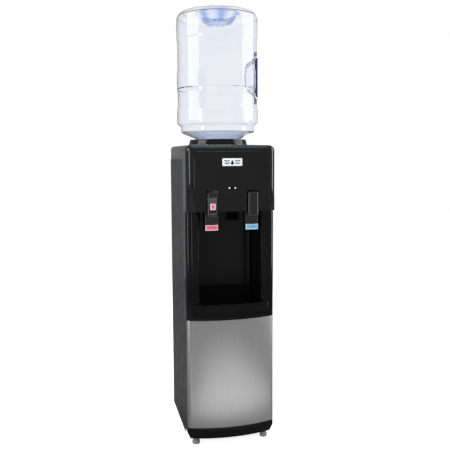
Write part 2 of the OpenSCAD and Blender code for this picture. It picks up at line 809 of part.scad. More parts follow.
// Silicone tubes: cold tank to cold tap, hot tank to hot tap, feed and drain of the hot tank
module water_tubes() {
    n = 5;
    r = 4.6;
    tap_y = valve_y + 34.4;
    out = [cos(outlet_turn), sin(outlet_turn)];
    tank_bottom = cold_z - 0.4;
    hot_bottom = shelf_z + 11.6;
    color([0.9, 0.9, 0.9]) {
        swept(spline([[72.5 * out[0], bottle_y + 72.5 * out[1], outlet_z],
            [93 * out[0], bottle_y + 93 * out[1], outlet_z],
            [101 * out[0], bottle_y + 101 * out[1], outlet_z], [84, -70, 781], [72, -79, 771],
            [tap_x, -87, inlet_z], [tap_x, tap_y, inlet_z]], n), r, [0, 0, 1]);
        swept(spline([[hot_x, hot_y, shelf_z + 155.4], [-65, 60, 722], [-100, 42, 744],
            [-120, -18, 776], [-105, -60, 777], [-76, -80, 770], [-tap_x, -87, inlet_z],
            [-tap_x, tap_y, inlet_z]], n), r, [0.3, 0.2, 1]);
        swept(spline([[-feed_x, bottle_y, tank_bottom], [-feed_x, bottle_y, 765],
            [-feed_x, bottle_y, 754], [0, 6, 725],
            [40, 25, 680], [68, 40, 620], [70, 40, 560], [69, 40, 540], [40, 42, 524],
            [-20, 42, 520], [-55, 50, 526], [hot_x, hot_y, 545], [hot_x, hot_y, hot_bottom]], n),
            r, [0.1, 1, 0.2]);
        swept(spline([[hot_x + drain_port, hot_y, hot_bottom], [-37, 62, 540], [-30, 76, 480],
            [-10, 110, 380], [0, 125, 335], [0, rear_y - 17.4, drain_z]], n), r, [1, 0, 0]);
    }
}

module tank_shelf() {
    half = side_x - 4;
    color([0.6, 0.6, 0.62]) difference() {
        union() {
            block([-half, alcove_back + wall + 1, shelf_z], [half, rear_sheet_y - 1, shelf_z + 1]);
            for (s = [-1, 1]) block([s > 0 ? half - 1 : -half, alcove_back + wall + 1, shelf_z - 16],
                [s > 0 ? half : 1 - half, rear_sheet_y - 1, shelf_z + 1]);
        }
        rod_z([70, 40, shelf_z - 5], 12, 20);
        for (x = [0, drain_port]) rod_z([hot_x + x, hot_y, shelf_z - 5], 8, 20);
        rod_z([line_x, line_y, shelf_z - 5], 10, 20);
    }
}

module control_box() {
    color([0.85, 0.85, 0.8]) difference() {
        block([25, 80, shelf_z + 1.2], [115, 140, shelf_z + 70]);
        block([27.5, 82.5, shelf_z + 4], [112.5, 137.5, shelf_z + 75]);
    }
}

// ---------------------------------------------------------------- refrigeration

comp_x = 10;
comp_y = 60;
comp_base = plinth_z + wall + 16;

module compressor() {
    color([0.1, 0.1, 0.1]) translate([comp_x, comp_y, 0]) difference() {
        union() {
            rotate_extrude() polygon(concat([[0, comp_base + 3]], [[50, comp_base + 3],
                [60, comp_base + 14], [60, comp_base + 58], [62, comp_base + 58],
                [62, comp_base + 64], [60, comp_base + 64]],
                [for (a = [0 : 15 : 90]) [60 * cos(a), comp_base + 95 + 30 * sin(a)]]));
            block([-85, -62, comp_base], [85, 62, comp_base + 3.5]);
            block([50, -16, comp_base + 40], [75, 16, comp_base + 76]);
        }
        for (x = [-75, 75]) for (y = [-52, 52]) rod_z([x, y, 0], 6, 100);
    }
}

module compressor_mounts() {
    color([0.15, 0.15, 0.15]) for (x = [-75, 75]) for (y = [-52, 52])
        translate([comp_x + x, comp_y + y, 0]) {
            rod_z([0, 0, plinth_z + wall + 0.02], 9, 15.8);
            rod_z([0, 0, comp_base - 1], 5.8, 9);
        }
}

// Serpentine tube, straight passes joined by half-circle bends, with its cooling wires
module condenser_coil() {
    wire_y = tube_y + tube_r + wire_r + 0.05;
    color([0.12, 0.12, 0.12]) {
        for (i = [0 : pass_count - 1])
            rod_x([-pass_half, tube_y, pass_z + i * pass_gap], tube_r, 2 * pass_half);
        for (i = [0 : pass_count - 2])
            translate([(i % 2 == 0 ? 1 : -1) * pass_half, tube_y, pass_z + (i + 0.5) * pass_gap])
                rotate([90, 0, 0]) rotate([0, 0, i % 2 == 0 ? -90 : 90])
                    rotate_extrude(angle = 180) translate([pass_gap / 2, 0]) circle(r = tube_r);
        for (x = [-96 : 12 : 96])
            rod_z([x, wire_y, pass_z - 14], wire_r, (pass_count - 1) * pass_gap + 28, $fn = 16);
    }
}

module condenser_brackets() {
    color([0.2, 0.2, 0.2]) for (s = [-1, 1]) for (z = [pass_z + pass_gap / 2, pass_z + 9.5 * pass_gap])
        difference() {
            block([s * 88 - 5, rear_sheet_y + sheet + 0.05, z - 12],
                [s * 88 + 5, tube_y - tube_r - 0.1, z + 12]);
            block([s * 88 - 6, rear_sheet_y + sheet + 3, z - 9],
                [s * 88 + 6, tube_y - tube_r - 3, z + 9]);
        }
}

module filter_drier() {
    color([0.72, 0.45, 0.2]) translate([-95, 120, 0]) rotate_extrude()
        polygon([[0, 190], [3, 190], [3, 200], [9, 206], [9, 270], [3, 276], [3, 286], [0, 286]]);
}

// Discharge line, liquid line, capillary and suction line
module refrigerant_lines() {
    n = 5;
    top_z = pass_z + (pass_count - 1) * pass_gap;
    end_x = -pass_half - 0.3;
    color([0.72, 0.45, 0.2]) {
        swept(spline([[end_x, tube_y, top_z], [-112, tube_y - 3, top_z], [line_hole_x, 172, top_z],
            [line_hole_x, 140, top_z], [-118, 128, 490], [-118, 128, 210], [-100, 100, 135],
            [-76, 66, 112], [comp_x - 61.8, comp_y, 112]], n), tube_r, [1, 1, -1]);
        swept(spline([[end_x, tube_y, pass_z], [-112, tube_y - 3, pass_z],
            [line_hole_x, 172, pass_z], [line_hole_x, 142, pass_z], [-108, 128, 150],
            [-97, 121, 175], [-95, 120, 189.6]], n), tube_r, [1, 1, 1]);
        swept(spline([[-95, 120, 286.4], [-88, 126, 318], [0, 136, 352], [100, 118, 420],
            [126, 74, 500], [line_x + 4, 68, 560], [128, 52, 700], [114, 18, 785], [90, 6, 797],
            [79, 5, 796], [coil_r, bottle_y - 0.4, coil_z]], n), 1.2, [1, -1, 0.2], 6);
        swept(spline([[coil_r, bottle_y + 0.4, coil_top], [78, 24, 881], [92, 33, 878],
            [114, 44, 850], [120, 56, 760], [line_x, 58, 560], [120, 76, 300], [100, 104, 160],
            [60, 124, 118], [comp_x + 32, comp_y + 54.4, 114]], n), 3, [1, -1, -0.2]);
    }
}

// ---------------------------------------------------------------- rear fittings

// Frame that holds the two rocker switches
module switch_bezel() {
    y0 = rear_sheet_y + sheet + 0.05;
    color([0.05, 0.05, 0.05]) difference() {
        union() {
            block([-switch_x - 15, y0, switch_z - 17], [switch_x + 15, y0 + 2.4, switch_z + 17]);
            for (s = [-1, 1]) block([s * switch_x - 7.8, y0 - 16, switch_z - 12.3],
                [s * switch_x + 7.8, y0 + 2.4, switch_z + 12.3]);
        }
        for (s = [-1, 1]) {
            block([s * switch_x - 6.6, y0 - 14, switch_z - 11], [s * switch_x + 6.6, y0 + 10, switch_z + 11]);
            rod_x([s * switch_x - 10, y0 - 2, switch_z], 1.55, 20);
        }
    }
}

// Rocker with two faces that meet at a shallow angle, tilted to its off side
module rocker(x) {
    y0 = rear_sheet_y + sheet + 0.05;
    translate([x, y0 - 2, switch_z]) rotate([-rocker_tilt, 0, 0]) {
        rotate([90, 0, 90]) translate([0, 0, -6]) linear_extrude(12)
            polygon([[-5, -8], [5.4, -9.2], [3.6, 0], [5.4, 9.2], [-5, 8]]);
        rod_x([-7.4, 0, 0], 1.5, 14.8);
    }
}
module hot_switch() {
    color("firebrick") rocker(switch_x);
}
module cold_switch() {
    color("green") rocker(-switch_x);
}

module drain_stub() {
    color([0.85, 0.85, 0.82]) difference() {
        union() {
            rod_y([0, rear_y - 17, drain_z], 9, 28.5);
            rod_y([0, rear_sheet_y - 3.5, drain_z], 13, 3.4);
        }
        rod_y([0, rear_y - 30, drain_z], 5, 60);
    }
}

module drain_cap() {
    y0 = rear_sheet_y + sheet + 1.2;
    color([0.1, 0.1, 0.1]) difference() {
        rod_y([0, y0, drain_z], 13, 16);
        rod_y([0, y0 - 1, drain_z], 9.05, 13);
    }
}

// Cable outlet, flanged on both sides of the rear sheet
module cord_gland() {
    color([0.1, 0.1, 0.1]) difference() {
        union() {
            rod_y([gland_x, rear_sheet_y - 4, gland_z], 6.1, 15);
            rod_y([gland_x, rear_sheet_y - 4, gland_z], 9, 3.9);
            rod_y([gland_x, rear_sheet_y + sheet + 0.1, gland_z], 9, 3);
        }
        rod_y([gland_x, rear_sheet_y - 10, gland_z], 3.5, 40);
    }
}

base_plinth();
foot_front_left();
foot_front_right();
foot_rear_left();
foot_rear_right();
side_panel_left();
side_panel_right();
rear_panel();
rear_screws();
front_frame();
lower_front_panel();
alcove_housing();
drip_tray();
drip_grille();
top_cover();
fascia_panel();
badge_plate();
indicator_lenses();
indicator_board();
hot_lever();
cold_lever();
hot_label();
cold_label();
hot_button();
button_spring();
pivot_pins();
hot_faucet();
cold_faucet();
hot_plunger();
cold_plunger();
hot_spring();
cold_spring();
bottle_seat();
seat_gasket();
bottle_probe();
water_bottle();
bottle_cap();
cold_tank();
baffle_plate();
cold_insulation();
evaporator_coil();
hot_tank();
heater_band();
thermostats();
hot_jacket();
water_tubes();
tank_shelf();
control_box();
compressor();
compressor_mounts();
condenser_coil();
condenser_brackets();
filter_drier();
refrigerant_lines();
switch_bezel();
hot_switch();
cold_switch();
drain_stub();
drain_cap();
cord_gland();
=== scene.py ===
"""Looks of a floor-standing water dispenser with an inverted bottle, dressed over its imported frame.

Sizes are in millimetres, in the frame's own axes: X to the right, Y to the rear, Z up, origin on the floor.
"""

import json
import logging
import math
from dataclasses import dataclass
from enum import Enum
from typing import Optional, Sequence

import bmesh
import bpy
import numpy as np
from mathutils import Euler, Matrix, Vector
from mathutils.geometry import delaunay_2d_cdt


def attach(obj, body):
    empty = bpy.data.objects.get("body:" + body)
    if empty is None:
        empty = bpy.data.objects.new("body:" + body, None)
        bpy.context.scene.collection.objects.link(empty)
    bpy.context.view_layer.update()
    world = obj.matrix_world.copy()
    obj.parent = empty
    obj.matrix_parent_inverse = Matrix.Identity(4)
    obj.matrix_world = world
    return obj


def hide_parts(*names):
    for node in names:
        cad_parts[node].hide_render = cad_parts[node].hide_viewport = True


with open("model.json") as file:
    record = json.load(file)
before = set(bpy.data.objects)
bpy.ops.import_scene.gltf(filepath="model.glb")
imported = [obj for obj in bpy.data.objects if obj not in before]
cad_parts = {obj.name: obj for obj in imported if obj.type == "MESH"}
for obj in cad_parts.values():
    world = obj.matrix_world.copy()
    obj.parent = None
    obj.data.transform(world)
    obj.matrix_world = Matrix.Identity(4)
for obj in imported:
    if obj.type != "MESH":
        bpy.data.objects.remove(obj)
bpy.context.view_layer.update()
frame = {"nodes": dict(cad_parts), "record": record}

LOG = logging.getLogger("dispenser")
MM = 0.001
Array = np.ndarray
Colour = tuple[float, float, float]


# ------------------------------------------------------------------ surfaces


class Facing(Enum):
    """Which way the height of a loft runs: the order in which (a, b, height) become X, Y, Z."""

    UP = (0, 1, 2)
    FRONT = (0, 2, 1)
    SIDE = (2, 0, 1)


def soften(path: Sequence[Sequence[float]], cut: float | Sequence[float], steps: int = 4,
           closed: bool = False) -> Array:
    """Rounds the corners of a path.

    Each corner becomes the quadratic curve from a point `cut` before it to a point `cut` after it.

    Args:
        path: the path's points, in two or three dimensions.
        cut: distance along each leg at which the rounding starts, one for all corners or one each.
        steps: pieces that each rounding is made of.
        closed: whether the last point joins the first.

    Returns:
        The rounded path's points.
    """
    line = np.asarray(path, float)
    if closed:
        line = np.vstack([line[-1:], line, line[:1]])
    before, at, after = line[:-2], line[1:-1], line[2:]
    back, ahead = before - at, after - at
    back_len = np.linalg.norm(back, axis=1, keepdims=True)
    ahead_len = np.linalg.norm(ahead, axis=1, keepdims=True)
    wanted = np.broadcast_to(np.asarray(cut, float), len(at))[:, None]
    reach = np.minimum(wanted, 0.49 * np.minimum(back_len, ahead_len))
    start, end = at + back / back_len * reach, at + ahead / ahead_len * reach
    t = np.linspace(0, 1, steps + 1)[None, :, None]
    curve = (1 - t) ** 2 * start[:, None] + 2 * t * (1 - t) * at[:, None] + t ** 2 * end[:, None]
    curve = curve.reshape(-1, line.shape[1])
    return curve if closed else np.vstack([line[:1], curve, line[-1:]])


@dataclass(frozen=True)
class Outline:
    """A plan line with its outward directions; an inset draws every point in along its direction."""

    points: Array
    outward: Array

    @classmethod
    def arcs(cls, *parts: tuple[float, float, float, float, float, int]) -> "Outline":
        """Joins arcs by straight lines.

        Args:
            parts: centre x and y, radius, first and last angle in degrees, and number of points.

        Returns:
            The outline through all the arcs in turn.
        """
        places, outs = [], []
        for cx, cy, radius, first, last, count in parts:
            turn = np.radians(np.linspace(first, last, count))
            out = np.column_stack([np.cos(turn), np.sin(turn)])
            outs.append(out)
            places.append(np.array([cx, cy]) + radius * out)
        return cls(np.vstack(places), np.vstack(outs))

    @classmethod
    def rectangle(cls, low: Sequence[float], high: Sequence[float], radius: float,
                  steps: int = 6) -> "Outline":
        """A rectangle with rounded corners.

        Args:
            low: its lowest corner.
            high: its highest corner.
            radius: radius of all four corners.
            steps: number of points round each corner.

        Returns:
            The closed outline.
        """
        (x0, y0), (x1, y1), r = low, high, radius
        return cls.arcs((x1 - r, y0 + r, r, -90, 0, steps), (x1 - r, y1 - r, r, 0, 90, steps),
                        (x0 + r, y1 - r, r, 90, 180, steps), (x0 + r, y0 + r, r, 180, 270, steps))

    def inset(self, by: float | Array) -> Array:
        """The outline's points moved in by a distance, or by one distance for each point."""
        return self.points - np.asarray(by)[..., None] * self.outward


def rising(outline: Outline, insets: Sequence, heights: Sequence) -> Array:
    """A wall over a plan line: point (i, j) is outline point j drawn in by inset i, at height i.

    Args:
        outline: the plan line.
        insets: one inset for each row, or an array of one for each row and outline point.
        heights: one height for each row, or an array of the same shape as such insets.

    Returns:
        A grid of points, rows by outline points by 3.
    """
    size = (len(insets), len(outline.points))
    by = np.asarray(insets, float)
    by = np.broadcast_to(by if by.ndim == 2 else by[:, None], size)
    up = np.asarray(heights, float)
    up = np.broadcast_to(up if up.ndim == 2 else up[:, None], size)
    plan = outline.points[None] - by[..., None] * outline.outward[None]
    return np.concatenate([plan, up[..., None]], axis=2)


def turned_profile(profile: Array, count: int, centre: Sequence[float] = (0, 0),
                   turns: Optional[Array] = None) -> Array:
    """A lathed surface: profile point i, a radius and a height, carried round a vertical axis.

    Args:
        profile: radii and heights.
        count: number of even steps round the axis.
        centre: x and y of the axis.
        turns: angles in radians to use in place of even steps.

    Returns:
        A grid of points, profile points by angles by 3.
    """
    turn = np.linspace(0, 2 * np.pi, count, endpoint=False) if turns is None else turns
    radius, height = profile[:, :1], np.broadcast_to(profile[:, 1:2], (len(profile), len(turn)))
    return np.stack([centre[0] + radius * np.cos(turn), centre[1] + radius * np.sin(turn), height], axis=2)


def tube(path: Array, radius: float, side: Sequence[float], sides: int = 10) -> Array:
    """A round tube: at each point of the path a circle lies across the path's direction there.

    Args:
        path: the tube's middle line.
        radius: the tube's radius.
        side: a direction that the path never runs along.
        sides: number of points round the circle.

    Returns:
        A grid of points, path points by circle points by 3.
    """
    along = np.gradient(path, axis=0)
    along /= np.linalg.norm(along, axis=1, keepdims=True)
    across = np.cross(along, np.asarray(side, float))
    across /= np.linalg.norm(across, axis=1, keepdims=True)
    other = np.cross(along, across)
    turn = np.linspace(0, 2 * np.pi, sides, endpoint=False)[None, :, None]
    return path[:, None] + radius * (np.cos(turn) * across[:, None] + np.sin(turn) * other[:, None])


class Mould:
    """Gathers grids and flat plates, in millimetres, and turns them into one mesh."""

    def __init__(self) -> None:
        """Starts with no points."""
        self.points: list[Array] = []
        self.faces: list[list[int]] = []
        self.total = 0

    def grid(self, points: Array, around: bool = False, flip: bool = False) -> "Mould":
        """Adds a grid of points joined as quads.

        Args:
            points: rows by columns by 3.
            around: whether the last column joins the first.
            flip: whether the faces turn the other way.

        Returns:
            This mould.
        """
        rows, columns = points.shape[:2]
        index = np.arange(rows * columns).reshape(rows, columns) + self.total
        if around:
            index = np.concatenate([index, index[:, :1]], axis=1)
        corners = [index[:-1, :-1], index[:-1, 1:], index[1:, 1:], index[1:, :-1]]
        quads = np.stack(corners[::-1] if flip else corners, axis=-1).reshape(-1, 4)
        self.faces.extend(quads.tolist())
        return self._keep(points.reshape(-1, 3))

    def lid(self, ring: Array, flip: bool = False) -> "Mould":
        """Closes a ring of points with one flat face.

        Args:
            ring: the points in order.
            flip: whether the face turns the other way.

        Returns:
            This mould.
        """
        index = (np.arange(len(ring)) + self.total).tolist()
        self.faces.append(index[::-1] if flip else index)
        return self._keep(ring)

    def solid(self, outline: Outline, profile: Array, facing: Facing = Facing.UP,
              holes: Sequence[Array] = ()) -> "Mould":
        """Adds a closed loft: the outline drawn in and raised as the profile's (inset, height) says.

        Args:
            outline: the plan line.
            profile: insets and heights from one end to the other.
            facing: which way the height runs.
            holes: closed lines cut straight through from the first height to the last.

        Returns:
            This mould.
        """
        rows = rising(outline, profile[:, 0], profile[:, 1])
        self.grid(rows[..., list(facing.value)], around=True)
        low, high = profile[0, 1], profile[-1, 1]
        self.face([rows[0, :, :2], *holes], low, facing, flip=True)
        self.face([rows[-1, :, :2], *holes], high, facing)
        return self.walls(holes, low, high, facing)

    def face(self, loops: Sequence[Array], height: float, facing: Facing = Facing.UP,
             flip: bool = False) -> "Mould":
        """Adds one flat face inside an outer line; lines within it are drawn on it and not cut out.

        Args:
            loops: closed lines, the outer one first.
            height: height of the face.
            facing: which way the height runs.
            flip: whether the face turns the other way.

        Returns:
            This mould.
        """
        starts = np.cumsum([0] + [len(loop) for loop in loops])
        edges = [(start + k, start + (k + 1) % (stop - start))
                 for start, stop in zip(starts[:-1], starts[1:]) for k in range(stop - start)]
        found = delaunay_2d_cdt([Vector(p) for p in np.vstack(loops)], edges, [], 2, 1e-4)
        places = np.array([[p.x, p.y, height] for p in found[0]])[:, list(facing.value)]
        self.faces.extend([[i + self.total for i in (f[::-1] if flip else f)] for f in found[2]])
        return self._keep(places)

    def walls(self, loops: Sequence[Array], low: float, high: float, facing: Facing = Facing.UP) -> "Mould":
        """Adds an upright wall along each closed line.

        Args:
            loops: closed lines in the wall's plan.
            low: height of the wall's foot.
            high: height of its top.
            facing: which way the height runs.

        Returns:
            This mould.
        """
        for loop in loops:
            wall = np.stack([np.column_stack([loop, np.full(len(loop), h)]) for h in (low, high)])
            self.grid(wall[..., list(facing.value)], around=True)
        return self

    def plate(self, loops: Sequence[Array], low: float, high: float, facing: Facing = Facing.UP) -> "Mould":
        """Adds a flat plate with holes.

        Args:
            loops: closed lines in the plate's plane, the outer one first.
            low: height of one face.
            high: height of the other.
            facing: which way the height runs.

        Returns:
            This mould.
        """
        self.face(loops, low, facing, flip=True).face(loops, high, facing)
        return self.walls(loops, low, high, facing)

    def _keep(self, points: Array) -> "Mould":
        """Stores the points of the faces just added.

        Args:
            points: the points.

        Returns:
            This mould.
        """
        self.points.append(np.asarray(points, float))
        self.total += len(points)
        return self

    def mesh(self, name: str, closed: bool = True, sharp: float = 32,
             marks: Optional[dict[str, Array]] = None) -> bpy.types.Object:
        """Makes the object.

        Args:
            name: the piece's name.
            closed: whether the surface closes on itself, so that its faces can be turned outwards.
            sharp: angle in degrees past which an edge stays crisp.
            marks: attributes from 0 to 1 by name, one value for each point in the mould.

        Returns:
            The new object, at the origin.
        """
        data = bpy.data.meshes.new(name)
        data.from_pydata((np.vstack(self.points) * MM).tolist(), [], self.faces)
        for mark, values in (marks or {}).items():
            layer = data.attributes.new(mark, "FLOAT", "POINT")
            layer.data.foreach_set("value", np.clip(values, 0, 1).ravel())
        work = bmesh.new()
        work.from_mesh(data)
        bmesh.ops.remove_doubles(work, verts=work.verts, dist=2e-6)
        bmesh.ops.dissolve_degenerate(work, edges=work.edges, dist=1e-6)
        if closed:
            bmesh.ops.recalc_face_normals(work, faces=work.faces)
        work.to_mesh(data)
        work.free()
        data.shade_smooth()
        data.set_sharp_from_angle(angle=math.radians(sharp))
        made = bpy.data.objects.new(name, data)
        bpy.context.scene.collection.objects.link(made)
        return made


# ------------------------------------------------------------------ finishes


class Recipe:
    """A material being put together from nodes, on the piece's own Object coordinates."""

    def __init__(self, name: str) -> None:
        """Starts a material with only its principled shader.

        Args:
            name: the material's name.
        """
        self.material = bpy.data.materials.new(name)
        self.material.use_nodes = True
        self.tree = self.material.node_tree
        self.shader = self.tree.nodes["Principled BSDF"]
        self.output = self.tree.nodes["Material Output"]
        self.place = self.node("ShaderNodeTexCoord").outputs["Object"]

    def node(self, kind: str, **settings: object) -> bpy.types.Node:
        """Adds a node and sets its properties.

        Args:
            kind: the node's type.
            settings: the properties by name.

        Returns:
            The new node.
        """
        made = self.tree.nodes.new(kind)
        for key, value in settings.items():
            setattr(made, key, value)
        return made

    def join(self, source: bpy.types.NodeSocket, target: bpy.types.NodeSocket) -> None:
        """Links two sockets."""
        self.tree.links.new(source, target)

    def set(self, **values: object) -> "Recipe":
        """Sets constants on the shader's own sockets.

        Args:
            values: the constants by socket, with an underscore for each space in the socket's name.

        Returns:
            This recipe.
        """
        for key, value in values.items():
            self.shader.inputs[key.replace("_", " ")].default_value = value
        return self

    def noise(self, scale: float, stretch: Colour = (1, 1, 1), detail: float = 2) -> bpy.types.NodeSocket:
        """Adds a noise.

        Args:
            scale: cells in a metre.
            stretch: factor on the scale along each axis.
            detail: octaves of finer noise on top.

        Returns:
            The noise's value, from 0 to 1.
        """
        mapping = self.node("ShaderNodeMapping")
        mapping.inputs["Scale"].default_value = stretch
        self.join(self.place, mapping.inputs["Vector"])
        made = self.node("ShaderNodeTexNoise")
        made.inputs["Scale"].default_value = scale
        made.inputs["Detail"].default_value = detail
        self.join(mapping.outputs["Vector"], made.inputs["Vector"])
        return made.outputs["Fac"]

    def span(self, source: bpy.types.NodeSocket, low: float, high: float, start: float = 0.3,
             end: float = 0.7) -> bpy.types.NodeSocket:
        """Maps one range of a value to another.

        Args:
            source: the value.
            low: the result at the start of the range.
            high: the result at its end.
            start: where the range starts.
            end: where it ends.

        Returns:
            The mapped value.
        """
        made = self.node("ShaderNodeMapRange")
        for key, value in (("From Min", start), ("From Max", end), ("To Min", low), ("To Max", high)):
            made.inputs[key].default_value = value
        self.join(source, made.inputs["Value"])
        return made.outputs["Result"]

    def blend(self, fac: bpy.types.NodeSocket, first: Colour, second: Colour) -> bpy.types.NodeSocket:
        """Goes from one colour to another as a value goes from 0.3 to 0.7.

        Args:
            fac: the value.
            first: the colour at 0.3 and below.
            second: the colour at 0.7 and above.

        Returns:
            The colour.
        """
        made = self.node("ShaderNodeValToRGB")
        made.color_ramp.elements[0].position, made.color_ramp.elements[1].position = 0.3, 0.7
        made.color_ramp.elements[0].color = (*first, 1)
        made.color_ramp.elements[1].color = (*second, 1)
        self.join(fac, made.inputs["Fac"])
        return made.outputs["Color"]

    def mix(self, fac: bpy.types.NodeSocket, first: bpy.types.NodeSocket,
            second: bpy.types.NodeSocket | Colour) -> bpy.types.NodeSocket:
        """Mixes two colours by a value.

        Args:
            fac: the second colour's share.
            first: the first colour.
            second: the second colour, from a node or as a constant.

        Returns:
            The mixed colour.
        """
        made = self.node("ShaderNodeMix", data_type="RGBA")
        self.join(fac, made.inputs[0])
        self.join(first, made.inputs[6])
        if isinstance(second, tuple):
            made.inputs[7].default_value = (*second, 1)
        else:
            self.join(second, made.inputs[7])
        return made.outputs[2]

    def bump(self, height: bpy.types.NodeSocket, depth: float, strength: float = 1.0) -> None:
        """Feeds a height to the shader's normal.

        Args:
            height: the height, from 0 to 1.
            depth: the relief from 0 to 1, in millimetres.
            strength: the share of the relief that shows.
        """
        made = self.node("ShaderNodeBump")
        made.inputs["Strength"].default_value = strength
        made.inputs["Distance"].default_value = depth * MM
        self.join(height, made.inputs["Height"])
        self.join(made.outputs["Normal"], self.shader.inputs["Normal"])


@dataclass(frozen=True)
class Moulded:
    """Plastic, rubber, foam or paint: two close shades, a fine grain, and rubbed, dusty places."""

    name: str
    colour: Colour
    roughness: float = 0.4
    grain: float = 900
    relief: float = 0.02
    shade: float = 0.82
    dust: float = 0.05
    coat: float = 0.0
    specular: float = 0.5
    see_through: float = 0.0

    def material(self) -> bpy.types.Material:
        """Builds the material.

        Returns:
            The new material.
        """
        recipe = Recipe(self.name)
        recipe.set(Coat_Weight=self.coat, Coat_Roughness=0.04, Specular_IOR_Level=self.specular,
                   Transmission_Weight=self.see_through)
        dark = tuple(c * self.shade for c in self.colour)
        body = recipe.blend(recipe.noise(9, detail=3), dark, self.colour)
        rubbed = recipe.span(recipe.noise(31, detail=5), 0, self.dust, 0.56, 0.74)
        pale = tuple(0.6 * c + 0.22 for c in self.colour)
        recipe.join(recipe.mix(rubbed, body, pale), recipe.shader.inputs["Base Color"])
        rough = recipe.span(recipe.noise(22, detail=6), self.roughness * 0.85, self.roughness * 1.2)
        recipe.join(rough, recipe.shader.inputs["Roughness"])
        recipe.bump(recipe.noise(self.grain), self.relief)
        return recipe.material


@dataclass(frozen=True)
class Metal:
    """Bare metal: a drawn or brushed grain along one axis, with soft stains in its roughness."""

    name: str
    colour: Colour
    roughness: float = 0.3
    grain: Colour = (1, 1, 1)
    cells: float = 700
    relief: float = 0.01
    swing: float = 0.12
    turned: float = 0.0

    def material(self) -> bpy.types.Material:
        """Builds the material.

        Returns:
            The new material.
        """
        recipe = Recipe(self.name)
        recipe.set(Metallic=1.0, Anisotropic=self.turned)
        streak = recipe.noise(self.cells, self.grain, 4)
        dark = tuple(c * 0.86 for c in self.colour)
        body = recipe.blend(streak, dark, self.colour)
        stain = recipe.span(recipe.noise(7, detail=4), 0, 0.35, 0.45, 0.8)
        recipe.join(recipe.mix(stain, body, tuple(c * 0.9 for c in self.colour)),
                    recipe.shader.inputs["Base Color"])
        low, high = self.roughness * (1 - self.swing), self.roughness * (1 + self.swing)
        recipe.join(recipe.span(streak, low, high), recipe.shader.inputs["Roughness"])
        recipe.bump(streak, self.relief, 0.6)
        return recipe.material


@dataclass(frozen=True)
class ClearPlastic:
    """Blown clear plastic: pale, then mid blue and navy as the tint attribute rises; the tint is painted
    shade where the wall is seen edge-on.
    """

    name: str
    colour: Colour = (0.925, 0.94, 0.965)
    middle: Colour = (0.3, 0.46, 0.86)
    deep: Colour = (0.012, 0.018, 0.13)
    roughness: float = 0.03
    index: float = 1.2
    coat_index: float = 1.45

    def material(self) -> bpy.types.Material:
        """Builds the material.

        Returns:
            The new material.
        """
        recipe = Recipe(self.name)
        recipe.set(Transmission_Weight=1.0, IOR=self.index, Specular_IOR_Level=0.5,
                   Coat_IOR=self.coat_index, Coat_Roughness=0.03)
        tint = recipe.node("ShaderNodeAttribute", attribute_name="tint")
        shades = recipe.node("ShaderNodeValToRGB")
        ramp = shades.color_ramp.elements
        ramp[0].color, ramp[1].color = (*self.colour, 1), (*self.deep, 1)
        ramp.new(0.5).color = (*self.middle, 1)
        recipe.join(tint.outputs["Fac"], shades.inputs["Fac"])
        recipe.join(shades.outputs["Color"], recipe.shader.inputs["Specular Tint"])
        # coat weight falls where the painted shade deepens the tint
        coat_outside_shade = recipe.span(tint.outputs["Fac"], 1, 0, 0.2, 0.7)
        recipe.join(coat_outside_shade, recipe.shader.inputs["Coat Weight"])
        flow = recipe.noise(26, (1, 1, 0.12), 4)
        drift = recipe.span(flow, 0.0, 0.03)
        body = recipe.mix(drift, shades.outputs["Color"], self.middle)
        recipe.join(body, recipe.shader.inputs["Base Color"])
        rough = recipe.span(flow, self.roughness, self.roughness * 2.6)
        recipe.join(rough, recipe.shader.inputs["Roughness"])
        recipe.bump(flow, 0.3, 0.4)
        return recipe.material


@dataclass(frozen=True)
class Printed:
    """A coloured insert with a paler border, marked by the rim attribute, and an even glow in the border's
    colour: painted light on the badge, the bands and the safety button, the lamp on the indicator lenses.
    """

    name: str
    colour: Colour
    border: Colour
    roughness: float = 0.3
    # emission in the border's colour: the indicator lenses' lamp; painted light on the badge, the bands and
    # the safety button
    lamp_and_painted_glow: float = 0.0

    def material(self) -> bpy.types.Material:
        """Builds the material.

        Returns:
            The new material.
        """
        recipe = Recipe(self.name)
        recipe.set(Specular_IOR_Level=0.5, Subsurface_Weight=0.08, Emission_Strength=self.lamp_and_painted_glow,
                   Emission_Color=(*self.border, 1))
        body = recipe.blend(recipe.noise(60, detail=3), tuple(c * 0.9 for c in self.colour), self.colour)
        rim = recipe.node("ShaderNodeAttribute", attribute_name="rim")
        recipe.join(recipe.mix(rim.outputs["Fac"], body, self.border), recipe.shader.inputs["Base Color"])
        recipe.join(recipe.span(recipe.noise(40), self.roughness * 0.8, self.roughness * 1.3),
                    recipe.shader.inputs["Roughness"])
        recipe.bump(recipe.noise(1100), 0.01)
        return recipe.material


